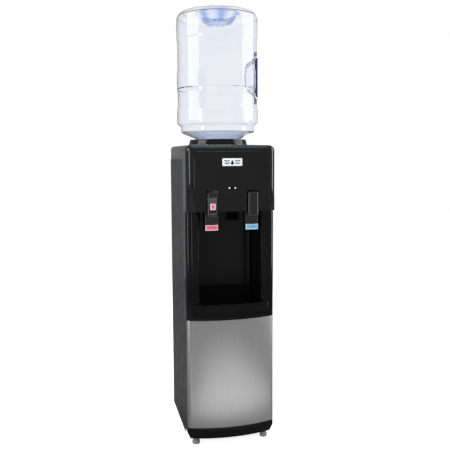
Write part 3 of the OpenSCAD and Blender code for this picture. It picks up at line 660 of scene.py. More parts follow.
class Finishes:
    """Every finish of the dispenser, each made into a material once, when it is first asked for."""

    def __init__(self) -> None:
        """Lists the finishes by the record's material slot."""
        self.by_slot: dict[str, Moulded | Metal | ClearPlastic | Printed] = {
            "plinth": Moulded("plinth_black", (0.003, 0.003, 0.0034), 0.3, 700, 0.01, dust=0.01,
                              specular=0.25),
            "foot": Moulded("foot_grey", (0.4, 0.4, 0.4), 0.3, 500, 0.03, dust=0.1, coat=0.3),
            "side_steel": Moulded("side_paint", (0.027, 0.028, 0.033), 0.38, 1100, 0.01, 0.97, 0.004),
            "rear_steel": Moulded("rear_paint", (0.03, 0.03, 0.033), 0.5, 1000, 0.03, 0.88, 0.06),
            "stainless": Metal("brushed_steel", (0.62, 0.62, 0.62), 0.42, (1, 1, 0.006), 2200, 0.002,
                               0.05, 0.2),
            "frame_plastic": Moulded("frame_black", (0.008, 0.008, 0.009), 0.3, 900, 0.015),
            "alcove_gloss": Moulded("alcove_black", (0.003, 0.003, 0.0033), 0.1, 260, 0.005, dust=0.004,
                                    specular=0.4),
            "head_plastic": Moulded("head_black", (0.006, 0.006, 0.007), 0.16, 420, 0.008, dust=0.008,
                                    coat=0.3),
            "fascia_gloss": Moulded("fascia_black", (0.008, 0.008, 0.0083), 0.08, 240, 0.004, 0.97, 0.004),
            "tray_plastic": Moulded("tray_black", (0.003, 0.003, 0.0033), 0.14, 700, 0.008, dust=0.004,
                                    specular=0.3),
            # the glow of the badge, the bands and the safety button is painted light; the lenses' glow is
            # their lamp
            "badge": Printed("badge_white", (0.96, 0.96, 0.96), (1, 1, 1), 0.25, 0.25),
            "lens": Printed("lens_white", (0.9, 0.9, 0.9), (1, 1, 1), 0.15, 0.5),
            "board": Moulded("board_green", (0.02, 0.11, 0.04), 0.35, 600, 0.03),
            "lever_gloss": Moulded("lever_black", (0.007, 0.007, 0.0075), 0.12, 500, 0.004, dust=0.006,
                                   coat=1.0),
            "hot_red": Printed("hot_pink", (0.78, 0.1, 0.19), (1.0, 0.62, 0.7), lamp_and_painted_glow=0.12),
            "cold_blue": Printed("cold_blue", (0.14, 0.45, 0.75), (0.55, 0.86, 1.0), lamp_and_painted_glow=0.12),
            "pin_steel": Metal("pin_steel", (0.6, 0.6, 0.61), 0.25, (0.05, 1, 1)),
            "valve_plastic": Moulded("valve_white", (0.55, 0.55, 0.52), 0.4, 800, 0.02, 0.92,
                                     see_through=0.15),
            "spring_steel": Metal("spring_steel", (0.55, 0.55, 0.56), 0.22),
            "seat_plastic": Moulded("collar_black", (0.005, 0.005, 0.0055), 0.13, 420, 0.006, dust=0.03),
            "silicone": Moulded("silicone_clear", (0.62, 0.62, 0.58), 0.35, 500, 0.02, 0.94, see_through=0.4),
            "bottle_plastic": ClearPlastic("bottle_clear"),
            "cap_plastic": Moulded("cap_blue", (0.09, 0.21, 0.62), 0.35, 600, 0.02),
            "tank_steel": Metal("tank_steel", (0.62, 0.62, 0.6), 0.24, (1, 1, 0.03), 500),
            "foam": Moulded("foam_white", (0.78, 0.76, 0.69), 0.85, 380, 0.5, 0.9, 0.2, specular=0.2),
            "copper": Metal("copper_tube", (0.72, 0.34, 0.2), 0.3, (1, 1, 0.2), 260),
            "band_steel": Metal("band_steel", (0.5, 0.49, 0.46), 0.4, (1, 1, 0.05), 500),
            "jacket": Moulded("jacket_fibre", (0.62, 0.6, 0.5), 0.9, 420, 0.6, 0.82, 0.25, specular=0.15),
            "shelf_steel": Metal("shelf_zinc", (0.5, 0.51, 0.53), 0.42, (1, 1, 1), 60, 0.02, 0.25),
            "box_plastic": Moulded("box_grey", (0.45, 0.45, 0.42), 0.45, 700, 0.03),
            "black_paint": Moulded("black_enamel", (0.009, 0.009, 0.01), 0.32, 320, 0.06, dust=0.1),
            "red_switch": Moulded("rocker_red", (0.5, 0.02, 0.02), 0.22, 700, 0.01, see_through=0.1),
            "green_switch": Moulded("rocker_green", (0.02, 0.3, 0.06), 0.22, 700, 0.01, see_through=0.1),
            "dark_mark": Moulded("mark_dark", (0.008, 0.008, 0.009), 0.4, 900, 0.01, dust=0.0),
            "grip_plastic": Moulded("grip_blue", (0.045, 0.055, 0.3), 0.3, 300, 0.01, 0.8, 0.02, coat=0.3),
        }
        self.made: dict[str, bpy.types.Material] = {}

    def get(self, slot: str) -> bpy.types.Material:
        """Makes a finish's material, or finds it if it is already made.

        Args:
            slot: the record's material slot, or the name of a finish that has no slot.

        Returns:
            The material.
        """
        if slot not in self.made:
            self.made[slot] = self.by_slot[slot].material()
        return self.made[slot]


FINISHES = Finishes()


def dress(made: bpy.types.Object, slot: str, body: str = "cabinet", replaces: Sequence[str] = (),
          finish: Optional[str] = None) -> bpy.types.Object:
    """Gives a finished piece its material and its body, and hides the CAD nodes that it stands for.

    Args:
        made: the piece.
        slot: the record's material slot.
        body: the CAD body that it moves with.
        replaces: the CAD nodes that it hides.
        finish: a finish other than the slot's own.

    Returns:
        The same piece.
    """
    made.data.materials.clear()
    made.data.materials.append(FINISHES.get(finish or slot))
    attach(made, body)
    if replaces:
        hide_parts(*replaces)
    LOG.info("%s rides on %s, %d faces", made.name, body, len(made.data.polygons))
    return made


def walled(made: bpy.types.Object, thickness: float) -> bpy.types.Object:
    """Gives an open skin its wall, behind its faces.

    Args:
        made: the skin.
        thickness: the wall in millimetres.

    Returns:
        The same piece.
    """
    wall = made.modifiers.new("wall", "SOLIDIFY")
    wall.thickness, wall.offset = thickness * MM, -1
    return made


def eased(made: bpy.types.Object, width: float, segments: int = 2, angle: float = 40) -> bpy.types.Object:
    """Rounds a piece's edges.

    Args:
        made: the piece.
        width: width of the rounding in millimetres.
        segments: flats that each rounding is made of.
        angle: angle in degrees past which an edge is rounded.

    Returns:
        The same piece.
    """
    edge = made.modifiers.new("ease", "BEVEL")
    edge.width, edge.segments, edge.limit_method = width * MM, segments, "ANGLE"
    edge.angle_limit, edge.harden_normals = math.radians(angle), True
    return made


def marked(made: bpy.types.Object, name: str, values: Array) -> bpy.types.Object:
    """Stores a value from 0 to 1 at each vertex, under an attribute's name."""
    made.data.attributes.new(name, "FLOAT", "POINT").data.foreach_set("value", np.clip(values, 0, 1).ravel())
    return made


def vertices(made: bpy.types.Object) -> Array:
    """Reads a piece's vertices.

    Args:
        made: the piece.

    Returns:
        One row for each vertex, in millimetres.
    """
    flat = np.empty(3 * len(made.data.vertices))
    made.data.vertices.foreach_get("co", flat)
    return flat.reshape(-1, 3) / MM


# ------------------------------------------------------------------ cabinet


@dataclass
class BodyPlan:
    """The bowed plan that the whole cabinet shares: a wide arc that runs into a radius at each corner."""

    side: float = 141.0
    rear: float = 155.0
    seam: float = -105.3
    bow_radius: float = 436.4
    bow_centre: float = 261.9
    corner: float = 15.0
    corner_x: float = 126.0
    corner_y: float = -140.2

    def lean(self) -> float:
        """Angle from -X at which the corner radius meets the bow, in degrees."""
        return math.degrees(math.atan2(self.bow_centre - self.corner_y, self.corner_x))

    def front(self) -> Outline:
        """The open line from the left seam round the front to the right seam.

        Returns:
            The outline, with its outward directions.
        """
        lean = self.lean()
        return Outline.arcs((-self.side, self.seam, 0, 180, 180, 1),
                            (-self.corner_x, self.corner_y, self.corner, 180, 360 - lean, 12),
                            (0, self.bow_centre, self.bow_radius, -180 + lean + 0.7, -lean - 0.7, 40),
                            (self.corner_x, self.corner_y, self.corner, -lean, 0, 12),
                            (self.side, self.seam, 0, 0, 0, 1))

    def full(self, rear: float, radius: float = 3.0) -> Outline:
        """The closed line of the front and a rear with small corners.

        Args:
            rear: y of the rear.
            radius: radius of the rear corners.

        Returns:
            The outline, with its outward directions.
        """
        front = self.front()
        back = Outline.arcs((self.side - radius, rear - radius, radius, 0, 90, 4),
                            (radius - self.side, rear - radius, radius, 90, 180, 4))
        return Outline(np.vstack([front.points, back.points]), np.vstack([front.outward, back.outward]))

    def bow_y(self, x: float | Array, inset: float = 0.0) -> float | Array:
        """Y of the bow at an x, drawn in by an inset."""
        return self.bow_centre - np.sqrt((self.bow_radius - inset) ** 2 - np.square(x))


PLAN = BodyPlan()


@dataclass
class Base:
    """Plinth with drawn-in lower corners, and its four levelling feet."""

    low: float = 22.0
    knee: float = 42.0
    top: float = 58.7
    draw_in: float = 9.0
    foot_x: float = 112.0
    foot_front: float = -133.0
    foot_rear: float = 105.0

    def plinth(self) -> None:
        """A tray: the body plan, drawn in towards the floor, up over its rim and down to its floor."""
        plan = PLAN.full(PLAN.rear - 3)
        wall = soften([[self.draw_in, self.low], [0, self.knee], [0, self.top], [3, self.top],
                       [3, self.knee + 1], [self.draw_in + 2, self.low + 3]], [3, 1.2, 0.8, 3], 4)
        dress(Mould().solid(plan, wall).mesh("plinth_skin"), "plinth", replaces=["base_plinth"])

    def feet(self) -> None:
        """Lathed rubber shoe, hexagon collar and threaded stem of each foot."""
        places = {"front_left": (-1, self.foot_front, "foot_fl"),
                  "front_right": (1, self.foot_front, "foot_fr"),
                  "rear_left": (-1, self.foot_rear, "foot_rl"),
                  "rear_right": (1, self.foot_rear, "foot_rr")}
        shoe = soften([[0, 0], [11, 0], [12, 1.2], [12, 9.8], [10.2, 12], [0, 12]], [0.8, 0.8, 1.2, 1.2], 3)
        z = np.linspace(12, 40, 112)
        stem = np.column_stack([3.75 + 0.25 * np.sin(2 * np.pi * z / 2.0), z])
        stem = np.vstack([[[0, 12]], stem, [[0, 40]]])
        for name, (side, y, body) in places.items():
            centre = (side * self.foot_x, y)
            nut = Outline.arcs(*[(centre[0], centre[1], 9, a, a, 1) for a in range(0, 360, 60)])
            mould = Mould().grid(turned_profile(shoe, 40, centre), around=True)
            mould.grid(turned_profile(stem, 16, centre), around=True)
            mould.solid(nut, np.array([[0.7, 11.4], [0, 12.1], [0, 16.4], [0.7, 17]]))
            dress(mould.mesh(f"foot_shoe_{name}"), "foot", body, [f"foot_{name}"])

    def build(self) -> None:
        """Builds the base."""
        self.plinth()
        self.feet()


@dataclass
class LowerFront:
    """Black frame with a brushed steel skin wrapped round its corners."""

    low: float = 59.1
    high: float = 405.7
    wrap: float = -13.0
    step: float = 1.3
    hem: float = 0.9

    def frame(self) -> None:
        """The dark strip at each side, stepped in behind the skin."""
        lean, plan, wrap = PLAN.lean(), PLAN, self.wrap
        x, y, full, behind = plan.corner_x, plan.corner_y, plan.corner, plan.corner - self.step
        step = Outline.arcs((-plan.side, plan.seam, 0, 180, 180, 1),
                            (-x, y, full, 180, 180 - wrap - 0.9, 4),
                            (-x, y, behind, 180 - wrap, 360 - lean, 8),
                            (0, plan.bow_centre, plan.bow_radius - self.step, -179 + lean, -lean - 1, 30),
                            (x, y, behind, -lean, wrap, 8),
                            (x, y, full, wrap + 0.9, 0, 4),
                            (plan.side, plan.seam, 0, 0, 0, 1))
        rows = rising(step, [0.8, 0.1, 0, 0, 0.1, 0.8],
                      [self.low, self.low + 0.3, self.low + 1, self.high - 1, self.high - 0.3, self.high])
        made = Mould().grid(rows).mesh("frame_surround", closed=False)
        dress(walled(made, 2.8), "frame_plastic", replaces=["front_frame"])

    def skin(self) -> None:
        """The steel: its top and bottom edges roll in by the sheet's own thickness."""
        plan, lean = PLAN, PLAN.lean()
        line = Outline.arcs((-plan.corner_x, plan.corner_y, plan.corner, 180 - self.wrap, 360 - lean, 16),
                            (0, plan.bow_centre, plan.bow_radius, -180 + lean + 0.5, -lean - 0.5, 48),
                            (plan.corner_x, plan.corner_y, plan.corner, -lean, self.wrap, 16))
        low, high = self.low + 0.5, self.high - 0.3
        turn = np.radians(np.linspace(90, 0, 5))
        insets = self.hem * (1 - np.cos(turn))
        rise = self.hem * (1 - np.sin(turn))
        rows = rising(line, np.concatenate([insets, insets[::-1]]),
                      np.concatenate([low + rise, (high - rise)[::-1]]))
        made = Mould().grid(rows).mesh("steel_skin", closed=False, sharp=60)
        dress(walled(made, 0.25), "stainless", replaces=["lower_front_panel"])

    def build(self) -> None:
        """Builds the lower front."""
        self.frame()
        self.skin()


@dataclass
class Alcove:
    """Gloss black recess for the cup, between two pillars, over the bowed sill that holds the tray."""

    sill: float = 406.0
    floor: float = 416.0
    ledge: float = 470.0
    top: float = 744.7
    ceiling: float = 757.0
    half: float = 100.0
    back: float = -20.0
    lip: float = -147.0
    tray_half: float = 120.5
    corner_points: int = 14
    cheek_points: int = 15

    def recess_line(self) -> Array:
        """Plan of the recess from its left front corner round the back to the right."""
        h, b = self.half, self.back
        return soften([[-h, self.lip], [-h, b], [h, b], [h, self.lip]], [12, 12], 8)

    def pillar_line(self) -> Array:
        """Plan from the left seam round the pillar, the recess and the other pillar to the right seam."""
        return self.cheeked_line([[-124.9, -156.1], [-122, -151.0]], [1.2, 1.5, 2])

    def block_line(self) -> Array:
        """The same plan below the ledges, where a block fills each corner beside the tray."""
        h = self.tray_half
        return self.cheeked_line([[-h, PLAN.bow_y(h)], [-h, -150.4]], [0.8, 0.5, 0.5])

    def cheeked_line(self, cheek: Sequence[Sequence[float]], cuts: Sequence[float]) -> Array:
        """The plan round both corners and the recess, with a cheek between each corner and the recess.

        Args:
            cheek: the left cheek's points from the corner to the recess's lip.
            cuts: how far each of the cheek's corners and the lip is rounded.

        Returns:
            The open line.
        """
        corner = PLAN.front().points[:self.corner_points]
        path = np.vstack([corner[-1:], cheek, [[-self.half, self.lip], [-self.half, -130]]])
        left = np.vstack([corner, soften(path, cuts, 4)[1:-1]])
        return np.vstack([left, self.recess_line()[1:-1], left[::-1] * [-1, 1]])

    @staticmethod
    def wall(line: Array, low: float, high: float) -> Array:
        """A plain upright wall over a plan line."""
        return np.stack([np.column_stack([line, np.full(len(line), z)]) for z in (low, high)])

    def housing(self) -> None:
        """Pillars and recess as one upright skin, then its ledges, sill, floor and ceiling."""
        pillar, block = self.pillar_line(), self.block_line()
        mould = Mould().grid(self.wall(pillar, self.ledge, self.top))
        mould.grid(self.wall(block, self.floor, self.ledge))
        mould.grid(self.wall(PLAN.front().points, self.sill, self.floor))
        mould.grid(self.wall(self.recess_line(), self.top, self.ceiling))
        count = self.corner_points + self.cheek_points
        for side in (-1, 1):
            ring = np.vstack([pillar[:count], block[:count][::-1]]) * [-side, 1]
            ring = np.column_stack([ring, np.full(len(ring), self.ledge)])
            mould.lid(ring, flip=side > 0)
        made = mould.mesh("alcove_skin", closed=False)
        eased(walled(made, 2.6), 0.5)
        dress(made, "alcove_gloss", replaces=["alcove_housing"])

    def decks(self) -> None:
        """Floor of the tray pocket, with the sill's bowed front edge, and the ceiling over the taps."""
        h = self.tray_half
        x = np.linspace(-h, h, 40)
        rim = np.column_stack([x, PLAN.bow_y(x, 0.3)])
        back = np.array([[h, self.lip], [self.half, self.lip], [self.half, self.back],
                         [-self.half, self.back], [-self.half, self.lip], [-h, self.lip]])
        mould = Mould().plate([np.vstack([rim, back])], self.floor - 3, self.floor)
        ceiling = Outline.rectangle((-self.half, -114), (self.half, self.back), 10)
        mould.plate([ceiling.points], self.ceiling, self.ceiling + 2.6)
        dress(mould.mesh("alcove_decks"), "alcove_gloss", replaces=["alcove_housing"])

    def build(self) -> None:
        """Builds the alcove."""
        self.housing()
        self.decks()


@dataclass
class Tray:
    """Bowed drip tray with a slotted grille that drops into its rim."""

    low: float = 416.6
    rim: float = 454.0
    half: float = 120.0
    box_half: float = 99.4
    back: float = -21.0
    step: float = -147.6

    def line(self, inset: float) -> Array:
        """Plan of the tray: bowed front, then the narrower box behind it.

        Args:
            inset: how far the plan is drawn in.

        Returns:
            The closed line.
        """
        h, b = self.half - inset, self.box_half - inset
        x = np.linspace(-h, h, 48)
        front = np.column_stack([x, PLAN.bow_y(x, inset)])
        step, back = self.step - inset, self.back - inset
        box = np.array([[h, step], [b, step], [b, back], [-b, back], [-b, step], [-h, step]])
        cuts = np.concatenate([[1.5], np.zeros(46) + 0.01, [1.5, 1.5, 0.8, 5, 5, 0.8, 1.5]])
        return soften(np.vstack([front, box]), cuts, 2, closed=True)

    def pan(self) -> None:
        """The pan: outer wall, rounded rim, step that carries the grille, inner wall and floor."""
        rows = [(0.8, self.low), (0, self.low + 0.8), (0, self.rim - 1.4), (0.4, self.rim - 0.4),
                (1.2, self.rim), (2.2, self.rim), (2.6, self.rim - 0.5), (2.6, self.rim - 6),
                (5.6, self.rim - 6), (5.6, self.low + 4), (8, self.low + 2.6)]
        rings = [self.line(inset) for inset, _ in rows]
        grid = np.stack([np.column_stack([ring, np.full(len(ring), z)])
                         for ring, (_, z) in zip(rings, rows)])
        mould = Mould().grid(grid, around=True)
        floor, under = grid[-1][:, :2], grid[0][:, :2]
        mould.plate([floor], self.low + 2.58, self.low + 2.6).plate([under], self.low, self.low + 0.02)
        made = mould.mesh("drip_pan")
        dress(made, "tray_plastic", "tray_body", ["drip_tray"])

    def grille(self) -> None:
        """The grille: a plate with three rows of round-ended slots."""
        slots = [Outline.rectangle((x - 2.2, y0), (x + 2.2, y1), 2.15, 4).points
                 for y0, y1 in ((-156, -122), (-116, -76), (-70, -30)) for x in range(-90, 91, 10)]
        mould = Mould().plate([self.line(3.0), *slots], self.rim - 5.6, self.rim - 1.6)
        made = eased(mould.mesh("drip_slots"), 0.5, 2)
        dress(made, "tray_plastic", "grille_body", ["drip_grille"])

    def build(self) -> None:
        """Builds the tray."""
        self.pan()
        self.grille()


@dataclass
class Head:
    """Rounded cover over the cabinet, with its border, fascia, badge and lights."""

    low: float = 745.0
    shoulder: float = 905.0
    top: float = 948.0
    face: float = -178.0
    half: float = 117.0
    corner: float = 24.0
    rear_corner: float = 14.0
    front_edge: float = 18.0
    rear_edge: float = 11.0
    fascia_top: float = 927.2
    rebate: float = 3.2
    hole: float = 91.0
    hole_y: float = 14.0
    lens_z: float = 817.0
    lens_back: float = 6.2

    def side_line(self, steps: int = 16) -> Outline:
        """The open line from the fascia's right edge round the right side, the rear and the left side.

        Args:
            steps: number of points round each front corner.

        Returns:
            The outline, with its outward directions.
        """
        cy, side, r = self.face + self.corner, PLAN.side, self.rear_corner
        return Outline.arcs((self.half, cy, self.corner, -90, 0, steps), (side, PLAN.seam, 0, 0, 0, 1),
                            (side - r, PLAN.rear - r, r, 0, 90, 8),
                            (r - side, PLAN.rear - r, r, 90, 180, 8),
                            (-side, PLAN.seam, 0, 180, 180, 1),
                            (-self.half, cy, self.corner, 180, 270, steps))

    def front_line(self) -> Outline:
        """The short straight line that closes the cap over the fascia."""
        x = np.linspace(-self.half, self.half, 24)[1:-1]
        return Outline(np.column_stack([x, np.full(22, self.face)]), np.tile([0.0, -1.0], (22, 1)))

    def cap_rows(self, outline: Outline) -> Array:
        """The cap's wall and rounded top edge, whose radius goes from the front's to the rear's along Y.

        Args:
            outline: the head's closed plan.

        Returns:
            A grid of points, rows by outline points by 3.
        """
        y = outline.points[:, 1]
        part = np.clip((y - self.face) / (PLAN.rear - self.face), 0, 1)
        edge = self.front_edge + (self.rear_edge - self.front_edge) * part
        turn = np.radians(np.linspace(0, 90, 13))[:, None]
        insets = np.vstack([np.zeros(len(y)), edge * (1 - np.cos(turn))])
        heights = np.vstack([np.full(len(y), self.fascia_top), self.top - edge * (1 - np.sin(turn))])
        return rising(outline, insets, heights)

    def cover(self) -> None:
        """Cap, flat top up to the lip of the bottle opening, sides, front posts and brow."""
        side, front = self.side_line(), self.front_line()
        ring = Outline(np.vstack([side.points, front.points]), np.vstack([side.outward, front.outward]))
        cap = self.cap_rows(ring)
        mould = Mould().grid(cap, around=True)
        away = cap[-1, :, :2] - [0, self.hole_y]
        away /= np.linalg.norm(away, axis=1, keepdims=True)
        lip = [[self.hole + 1, self.top], [self.hole + 0.3, self.top - 0.3], [self.hole, self.top - 1],
               [self.hole, self.top - 5]]
        rows = [np.column_stack([away * r + [0, self.hole_y], np.full(len(away), z)]) for r, z in lip]
        mould.grid(np.stack([cap[-1], *rows]), around=True)
        mould.grid(rising(side, [0, 0], [self.shoulder, self.fascia_top]))
        for take in (slice(0, 17), slice(len(side.points) - 17, len(side.points))):
            part = Outline(side.points[take], side.outward[take])
            mould.grid(rising(part, [0.6, 0, 0], [self.low, self.low + 0.8, self.shoulder]))
        for s in (-1, 1):
            post = np.array([[s * self.half, self.face], [s * (self.half + 0.15), self.face + self.rebate],
                             [s * (self.half - 7), self.face + self.rebate]])
            mould.grid(self.flat_wall(post, self.low, self.fascia_top), flip=s > 0)
        brow = np.array([[self.face, self.fascia_top], [self.face + self.rebate, self.fascia_top],
                         [self.face + self.rebate, self.fascia_top - 7]])
        x = np.array([-self.half, self.half])
        under = np.stack([np.column_stack([x, np.full(2, y), np.full(2, z)]) for y, z in brow])
        mould.grid(under, flip=True)
        made = walled(mould.mesh("head_cover", closed=False, sharp=40), 2.4)
        dress(made, "head_plastic", replaces=["top_cover"])

    @staticmethod
    def flat_wall(line: Array, low: float, high: float) -> Array:
        """A plain upright wall over a plan line."""
        return np.stack([np.column_stack([line, np.full(len(line), z)]) for z in (low, high)])

    def fascia(self) -> None:
        """Gloss plate with a slot for each lever, open at its foot, and its edges eased."""
        h, low, high, slot = self.half - 0.2, self.low, self.fascia_top - 0.3, 18.5
        line = [[-h, low]]
        for x in (-63.5, 63.5):
            line += [[x - slot, low], [x - slot, 809], [x + slot, 809], [x + slot, low]]
        line += [[h, low], [h, high], [-h, high]]
        loop = soften(line, [0.8, 1, 3, 3, 1, 1, 3, 3, 1, 0.8, 2, 2], 4, closed=True)
        holes = [Outline.arcs((x, self.lens_z, 2.6, 0, 345, 24)).points for x in (-9, 9)]
        mould = Mould().plate([loop, *holes], self.face, self.face + 2.8, Facing.FRONT)
        made = eased(mould.mesh("fascia_plate"), 0.5, 3)
        dress(made, "fascia_gloss", replaces=["fascia_panel"])

    def badge(self) -> None:
        """White plate with a plain mark: a drop between two short waves."""
        plate = Outline.rectangle((-31, 884), (31, 907), 1.6)
        front = self.face - 1.1
        profile = soften([[0, self.face - 0.05], [0, front], [0.9, front - 0.1]], [0.4], 4)
        mould = Mould().solid(plate, profile, Facing.FRONT)
        dress(mould.mesh("badge_face"), "badge", replaces=["badge_plate"])
        turn = np.linspace(0, 2 * np.pi, 40, endpoint=False)
        drop = np.column_stack([6.2 * np.sin(turn) * np.sin(turn / 2) ** 1.2, 894.6 + 7.2 * np.cos(turn)])
        mark = Mould().plate([drop], front - 0.25, front - 0.05, Facing.FRONT)
        for s in (-1, 1):
            for z in (891.8, 899.2):
                x = np.linspace(8, 25, 24)
                wave = z + 1.2 * np.sin((x - 8) / 17 * 3 * np.pi)
                under, over = (np.column_stack([s * x, wave + half]) for half in (-1.5, 1.5))
                band = np.vstack([under, over[::-1]])
                mark.plate([band], front - 0.25, front - 0.05, Facing.FRONT)
        dress(mark.mesh("badge_mark"), "badge", finish="dark_mark")

    def lights(self) -> None:
        """Two domed lenses."""
        mould = Mould()
        dome = soften([[2.5, 0], [2.5, 5.9], [1.6, 6.7], [0, 6.9]], [0.3, 1], 4)
        for x in (-9, 9):
            rows = turned_profile(dome, 24)
            lens = np.stack([rows[..., 0] + x, self.face + self.lens_back - rows[..., 2],
                             rows[..., 1] + self.lens_z], axis=2)
            mould.grid(lens, around=True).lid(lens[0])
        made = mould.mesh("indicator_lights")
        marked(made, "rim", np.ones(len(made.data.vertices)))
        dress(made, "lens", replaces=["indicator_lenses"])

    def build(self) -> None:
        """Builds the head."""
        self.cover()
        self.fascia()
        self.badge()
        self.lights()


# ------------------------------------------------------------------ taps


@dataclass
class Tap:
    """One lever with its cup paddle and coloured band; the hot one has a safety button."""

    name: str
    x: float
    hot: bool
    slab: tuple[float, float, float, float] = (-190.0, -183.0, 730.0, 805.0)
    half: float = 15.5
    edge: float = 3.4
    paddle_half: float = 20.0
    paddle: tuple[float, float, float, float] = (-170.0, -130.0, 687.0, 757.0)
    pivot: tuple[float, float] = (-155.0, 785.0)

    @staticmethod
    def chamfered(low: float, high: float, cut: float = 0.4) -> Array:
        """Profile of a plain extrusion from one height to another with a small chamfer at each end."""
        return np.array([[cut, low], [0, low + cut], [0, high - cut], [cut, high]])

    def finish(self, made: bpy.types.Object) -> None:
        """Dresses a piece of the lever."""
        dress(made, "lever_gloss", f"{self.name}_lever_body", [f"{self.name}_lever"])

    def lever(self) -> None:
        """Slab, stem to the pivot, paddle wall with its two cheeks, and the fork under the valve stem."""
        y0, y1, z0, z1 = self.slab
        x, h, p = self.x, self.half, self.paddle_half
        py0, py1, pz0, pz1 = self.paddle
        pocket = [Outline.rectangle((x - 9.2, 751.3), (x + 9.2, 771.7), 1.5, 4).points] if self.hot else []
        turn = np.radians(np.linspace(0, 90, 9))
        rounded = np.column_stack([self.edge * (1 - np.cos(turn)), y0 + self.edge * (1 - np.sin(turn))])
        profile = np.vstack([[[0.5, y1], [0, y1 - 0.5]], rounded])
        slab = Mould().solid(Outline.rectangle((x - h, z0), (x + h, z1), 5, 8), profile, Facing.FRONT, pocket)
        self.finish(slab.mesh(f"{self.name}_lever_slab", sharp=4))
        web = Outline.rectangle((y1 + 0.1, z0 + 6), (self.pivot[0] - 4, 798), 2)
        arm = Mould()
        for s in (-1, 1):
            edges = sorted((x + s * 8.9, x + s * 11.5))
            arm.solid(web, self.chamfered(*edges), Facing.SIDE)
        back = Outline.rectangle((-172, z0 + 6), (self.pivot[0] - 4, 798), 2)
        arm.solid(back, np.array([[0, x - 8.8], [0, x + 8.8]]), Facing.SIDE)
        hub = Outline.arcs((self.pivot[0], self.pivot[1], 7, 0, 350, 36))
        arm.solid(hub, self.chamfered(x - 11.5, x + 11.5, 0.6), Facing.SIDE)
        for s in (-1, 1):
            low, high = sorted((x + s * 4, x + s * 8))
            fork = Outline.rectangle((self.pivot[0], self.pivot[1] - 3), (-125, self.pivot[1] + 3), 1.2)
            arm.solid(fork, self.chamfered(low, high), Facing.SIDE)
        self.finish(arm.mesh(f"{self.name}_lever_arm"))
        line = [[x - p, py1], [x - p, py0], [x + p, py0], [x + p, py1]]
        outer = soften(line, [2.5, 2.5], 6)
        q = p - 2.8
        inner = soften([[x - q, py1], [x - q, py0 + 3], [x + q, py0 + 3], [x + q, py1]], [1, 1], 6)[::-1]
        cup = Mould().plate([np.vstack([outer, inner])], pz0, 740)
        left, right = x - h + 0.4, x + h - 0.4
        bridge = np.array([[left, y1 - 0.5], [right, y1 - 0.5], [right, py0 + 1], [left, py0 + 1]])
        cup.plate([bridge], 735, 744)
        for s in (-1, 1):
            low, high = sorted((x + s * q, x + s * p))
            wing = Outline.arcs((py0 + 4, pz1 - 4, 4, 90, 180, 6), (py0, 738, 0, 180, 180, 1),
                                (py1, 738, 0, 0, 0, 1), (py1 - 12, pz1 - 12, 12, 0, 90, 8))
            cup.solid(wing, np.array([[0, low], [0, high]]), Facing.SIDE)
        self.finish(eased(cup.mesh(f"{self.name}_paddle"), 1.2, 3))

    def band(self) -> None:
        """Coloured insert across the paddle: a shallow pillow whose border is paler."""
        x, h, front = self.x, self.paddle_half - 0.4, self.paddle[0]
        low, high = self.paddle[2] + 0.3, self.paddle[2] + 18
        u, v = np.meshgrid(np.linspace(-1, 1, 41), np.linspace(-1, 1, 25))
        edge = np.minimum((1 - np.abs(u)) * h, (1 - np.abs(v)) * (high - low) / 2)
        lift = 1.25 * np.minimum(1, edge / 1.0) ** 0.5
        sunk = 0.35 / (1 + np.exp(-(edge - 3.2) / 0.25))
        z = (low + high) / 2 + v * (high - low) / 2 - 0.9 * (1 - u ** 2)
        face = np.stack([x + u * h, front - lift + sunk, np.clip(z, low, high)], axis=2)
        slot = "hot_red" if self.hot else "cold_blue"
        made = Mould().grid(face).mesh(f"{self.name}_band", closed=False, sharp=80)
        co = vertices(made)
        across = np.minimum(h - np.abs(co[:, 0] - x), np.minimum(co[:, 2] - low, high - co[:, 2]))
        marked(made, "rim", 1 / (1 + np.exp((across - 3.0) / 0.4)))
        dress(walled(made, 0.2), slot, f"{self.name}_lever_body", [f"{self.name}_label"])

    def button(self) -> None:
        """Safety button with a pale square border on its face, a painted highlight along its raised edge."""
        x, low, high, front = self.x, 752.0, 771.0, -192.0
        plan = Outline.rectangle((x - 8.5, low), (x + 8.5, high), 1.6, 4)
        profile = np.array([[0, -184], [0, front + 1], [0.3, front + 0.3], [1, front], [2.6, front + 0.02],
                            [3.6, front + 0.35], [4.4, front + 0.4]])
        rows = rising(plan, np.minimum(profile[:, 0], 1.5), profile[:, 1])
        centre = np.array([x, (low + high) / 2])
        scale = 1 - np.maximum(profile[:, 0] - 1.5, 0)[:, None, None] / 7.0
        rows[..., :2] = centre + (rows[..., :2] - centre) * scale
        rows = rows[..., list(Facing.FRONT.value)]
        made = Mould().grid(rows, around=True).lid(rows[0], flip=True).lid(rows[-1]).mesh("safety_button")
        co = vertices(made)
        off = np.maximum(np.abs(co[:, 0] - x), np.abs(co[:, 2] - centre[1]) * 8.5 / 9.5)
        # painted highlight: the pale border stands in for light caught along the button's raised edge
        marked(made, "rim", (off - 4.6) / 0.8 * (co[:, 1] < front + 1.5))
        dress(made, "hot_red", "hot_button_body", ["hot_button"])

    def build(self) -> None:
        """Builds the tap."""
        self.lever()
        self.band()
        if self.hot:
            self.button()


# ------------------------------------------------------------------ bottle


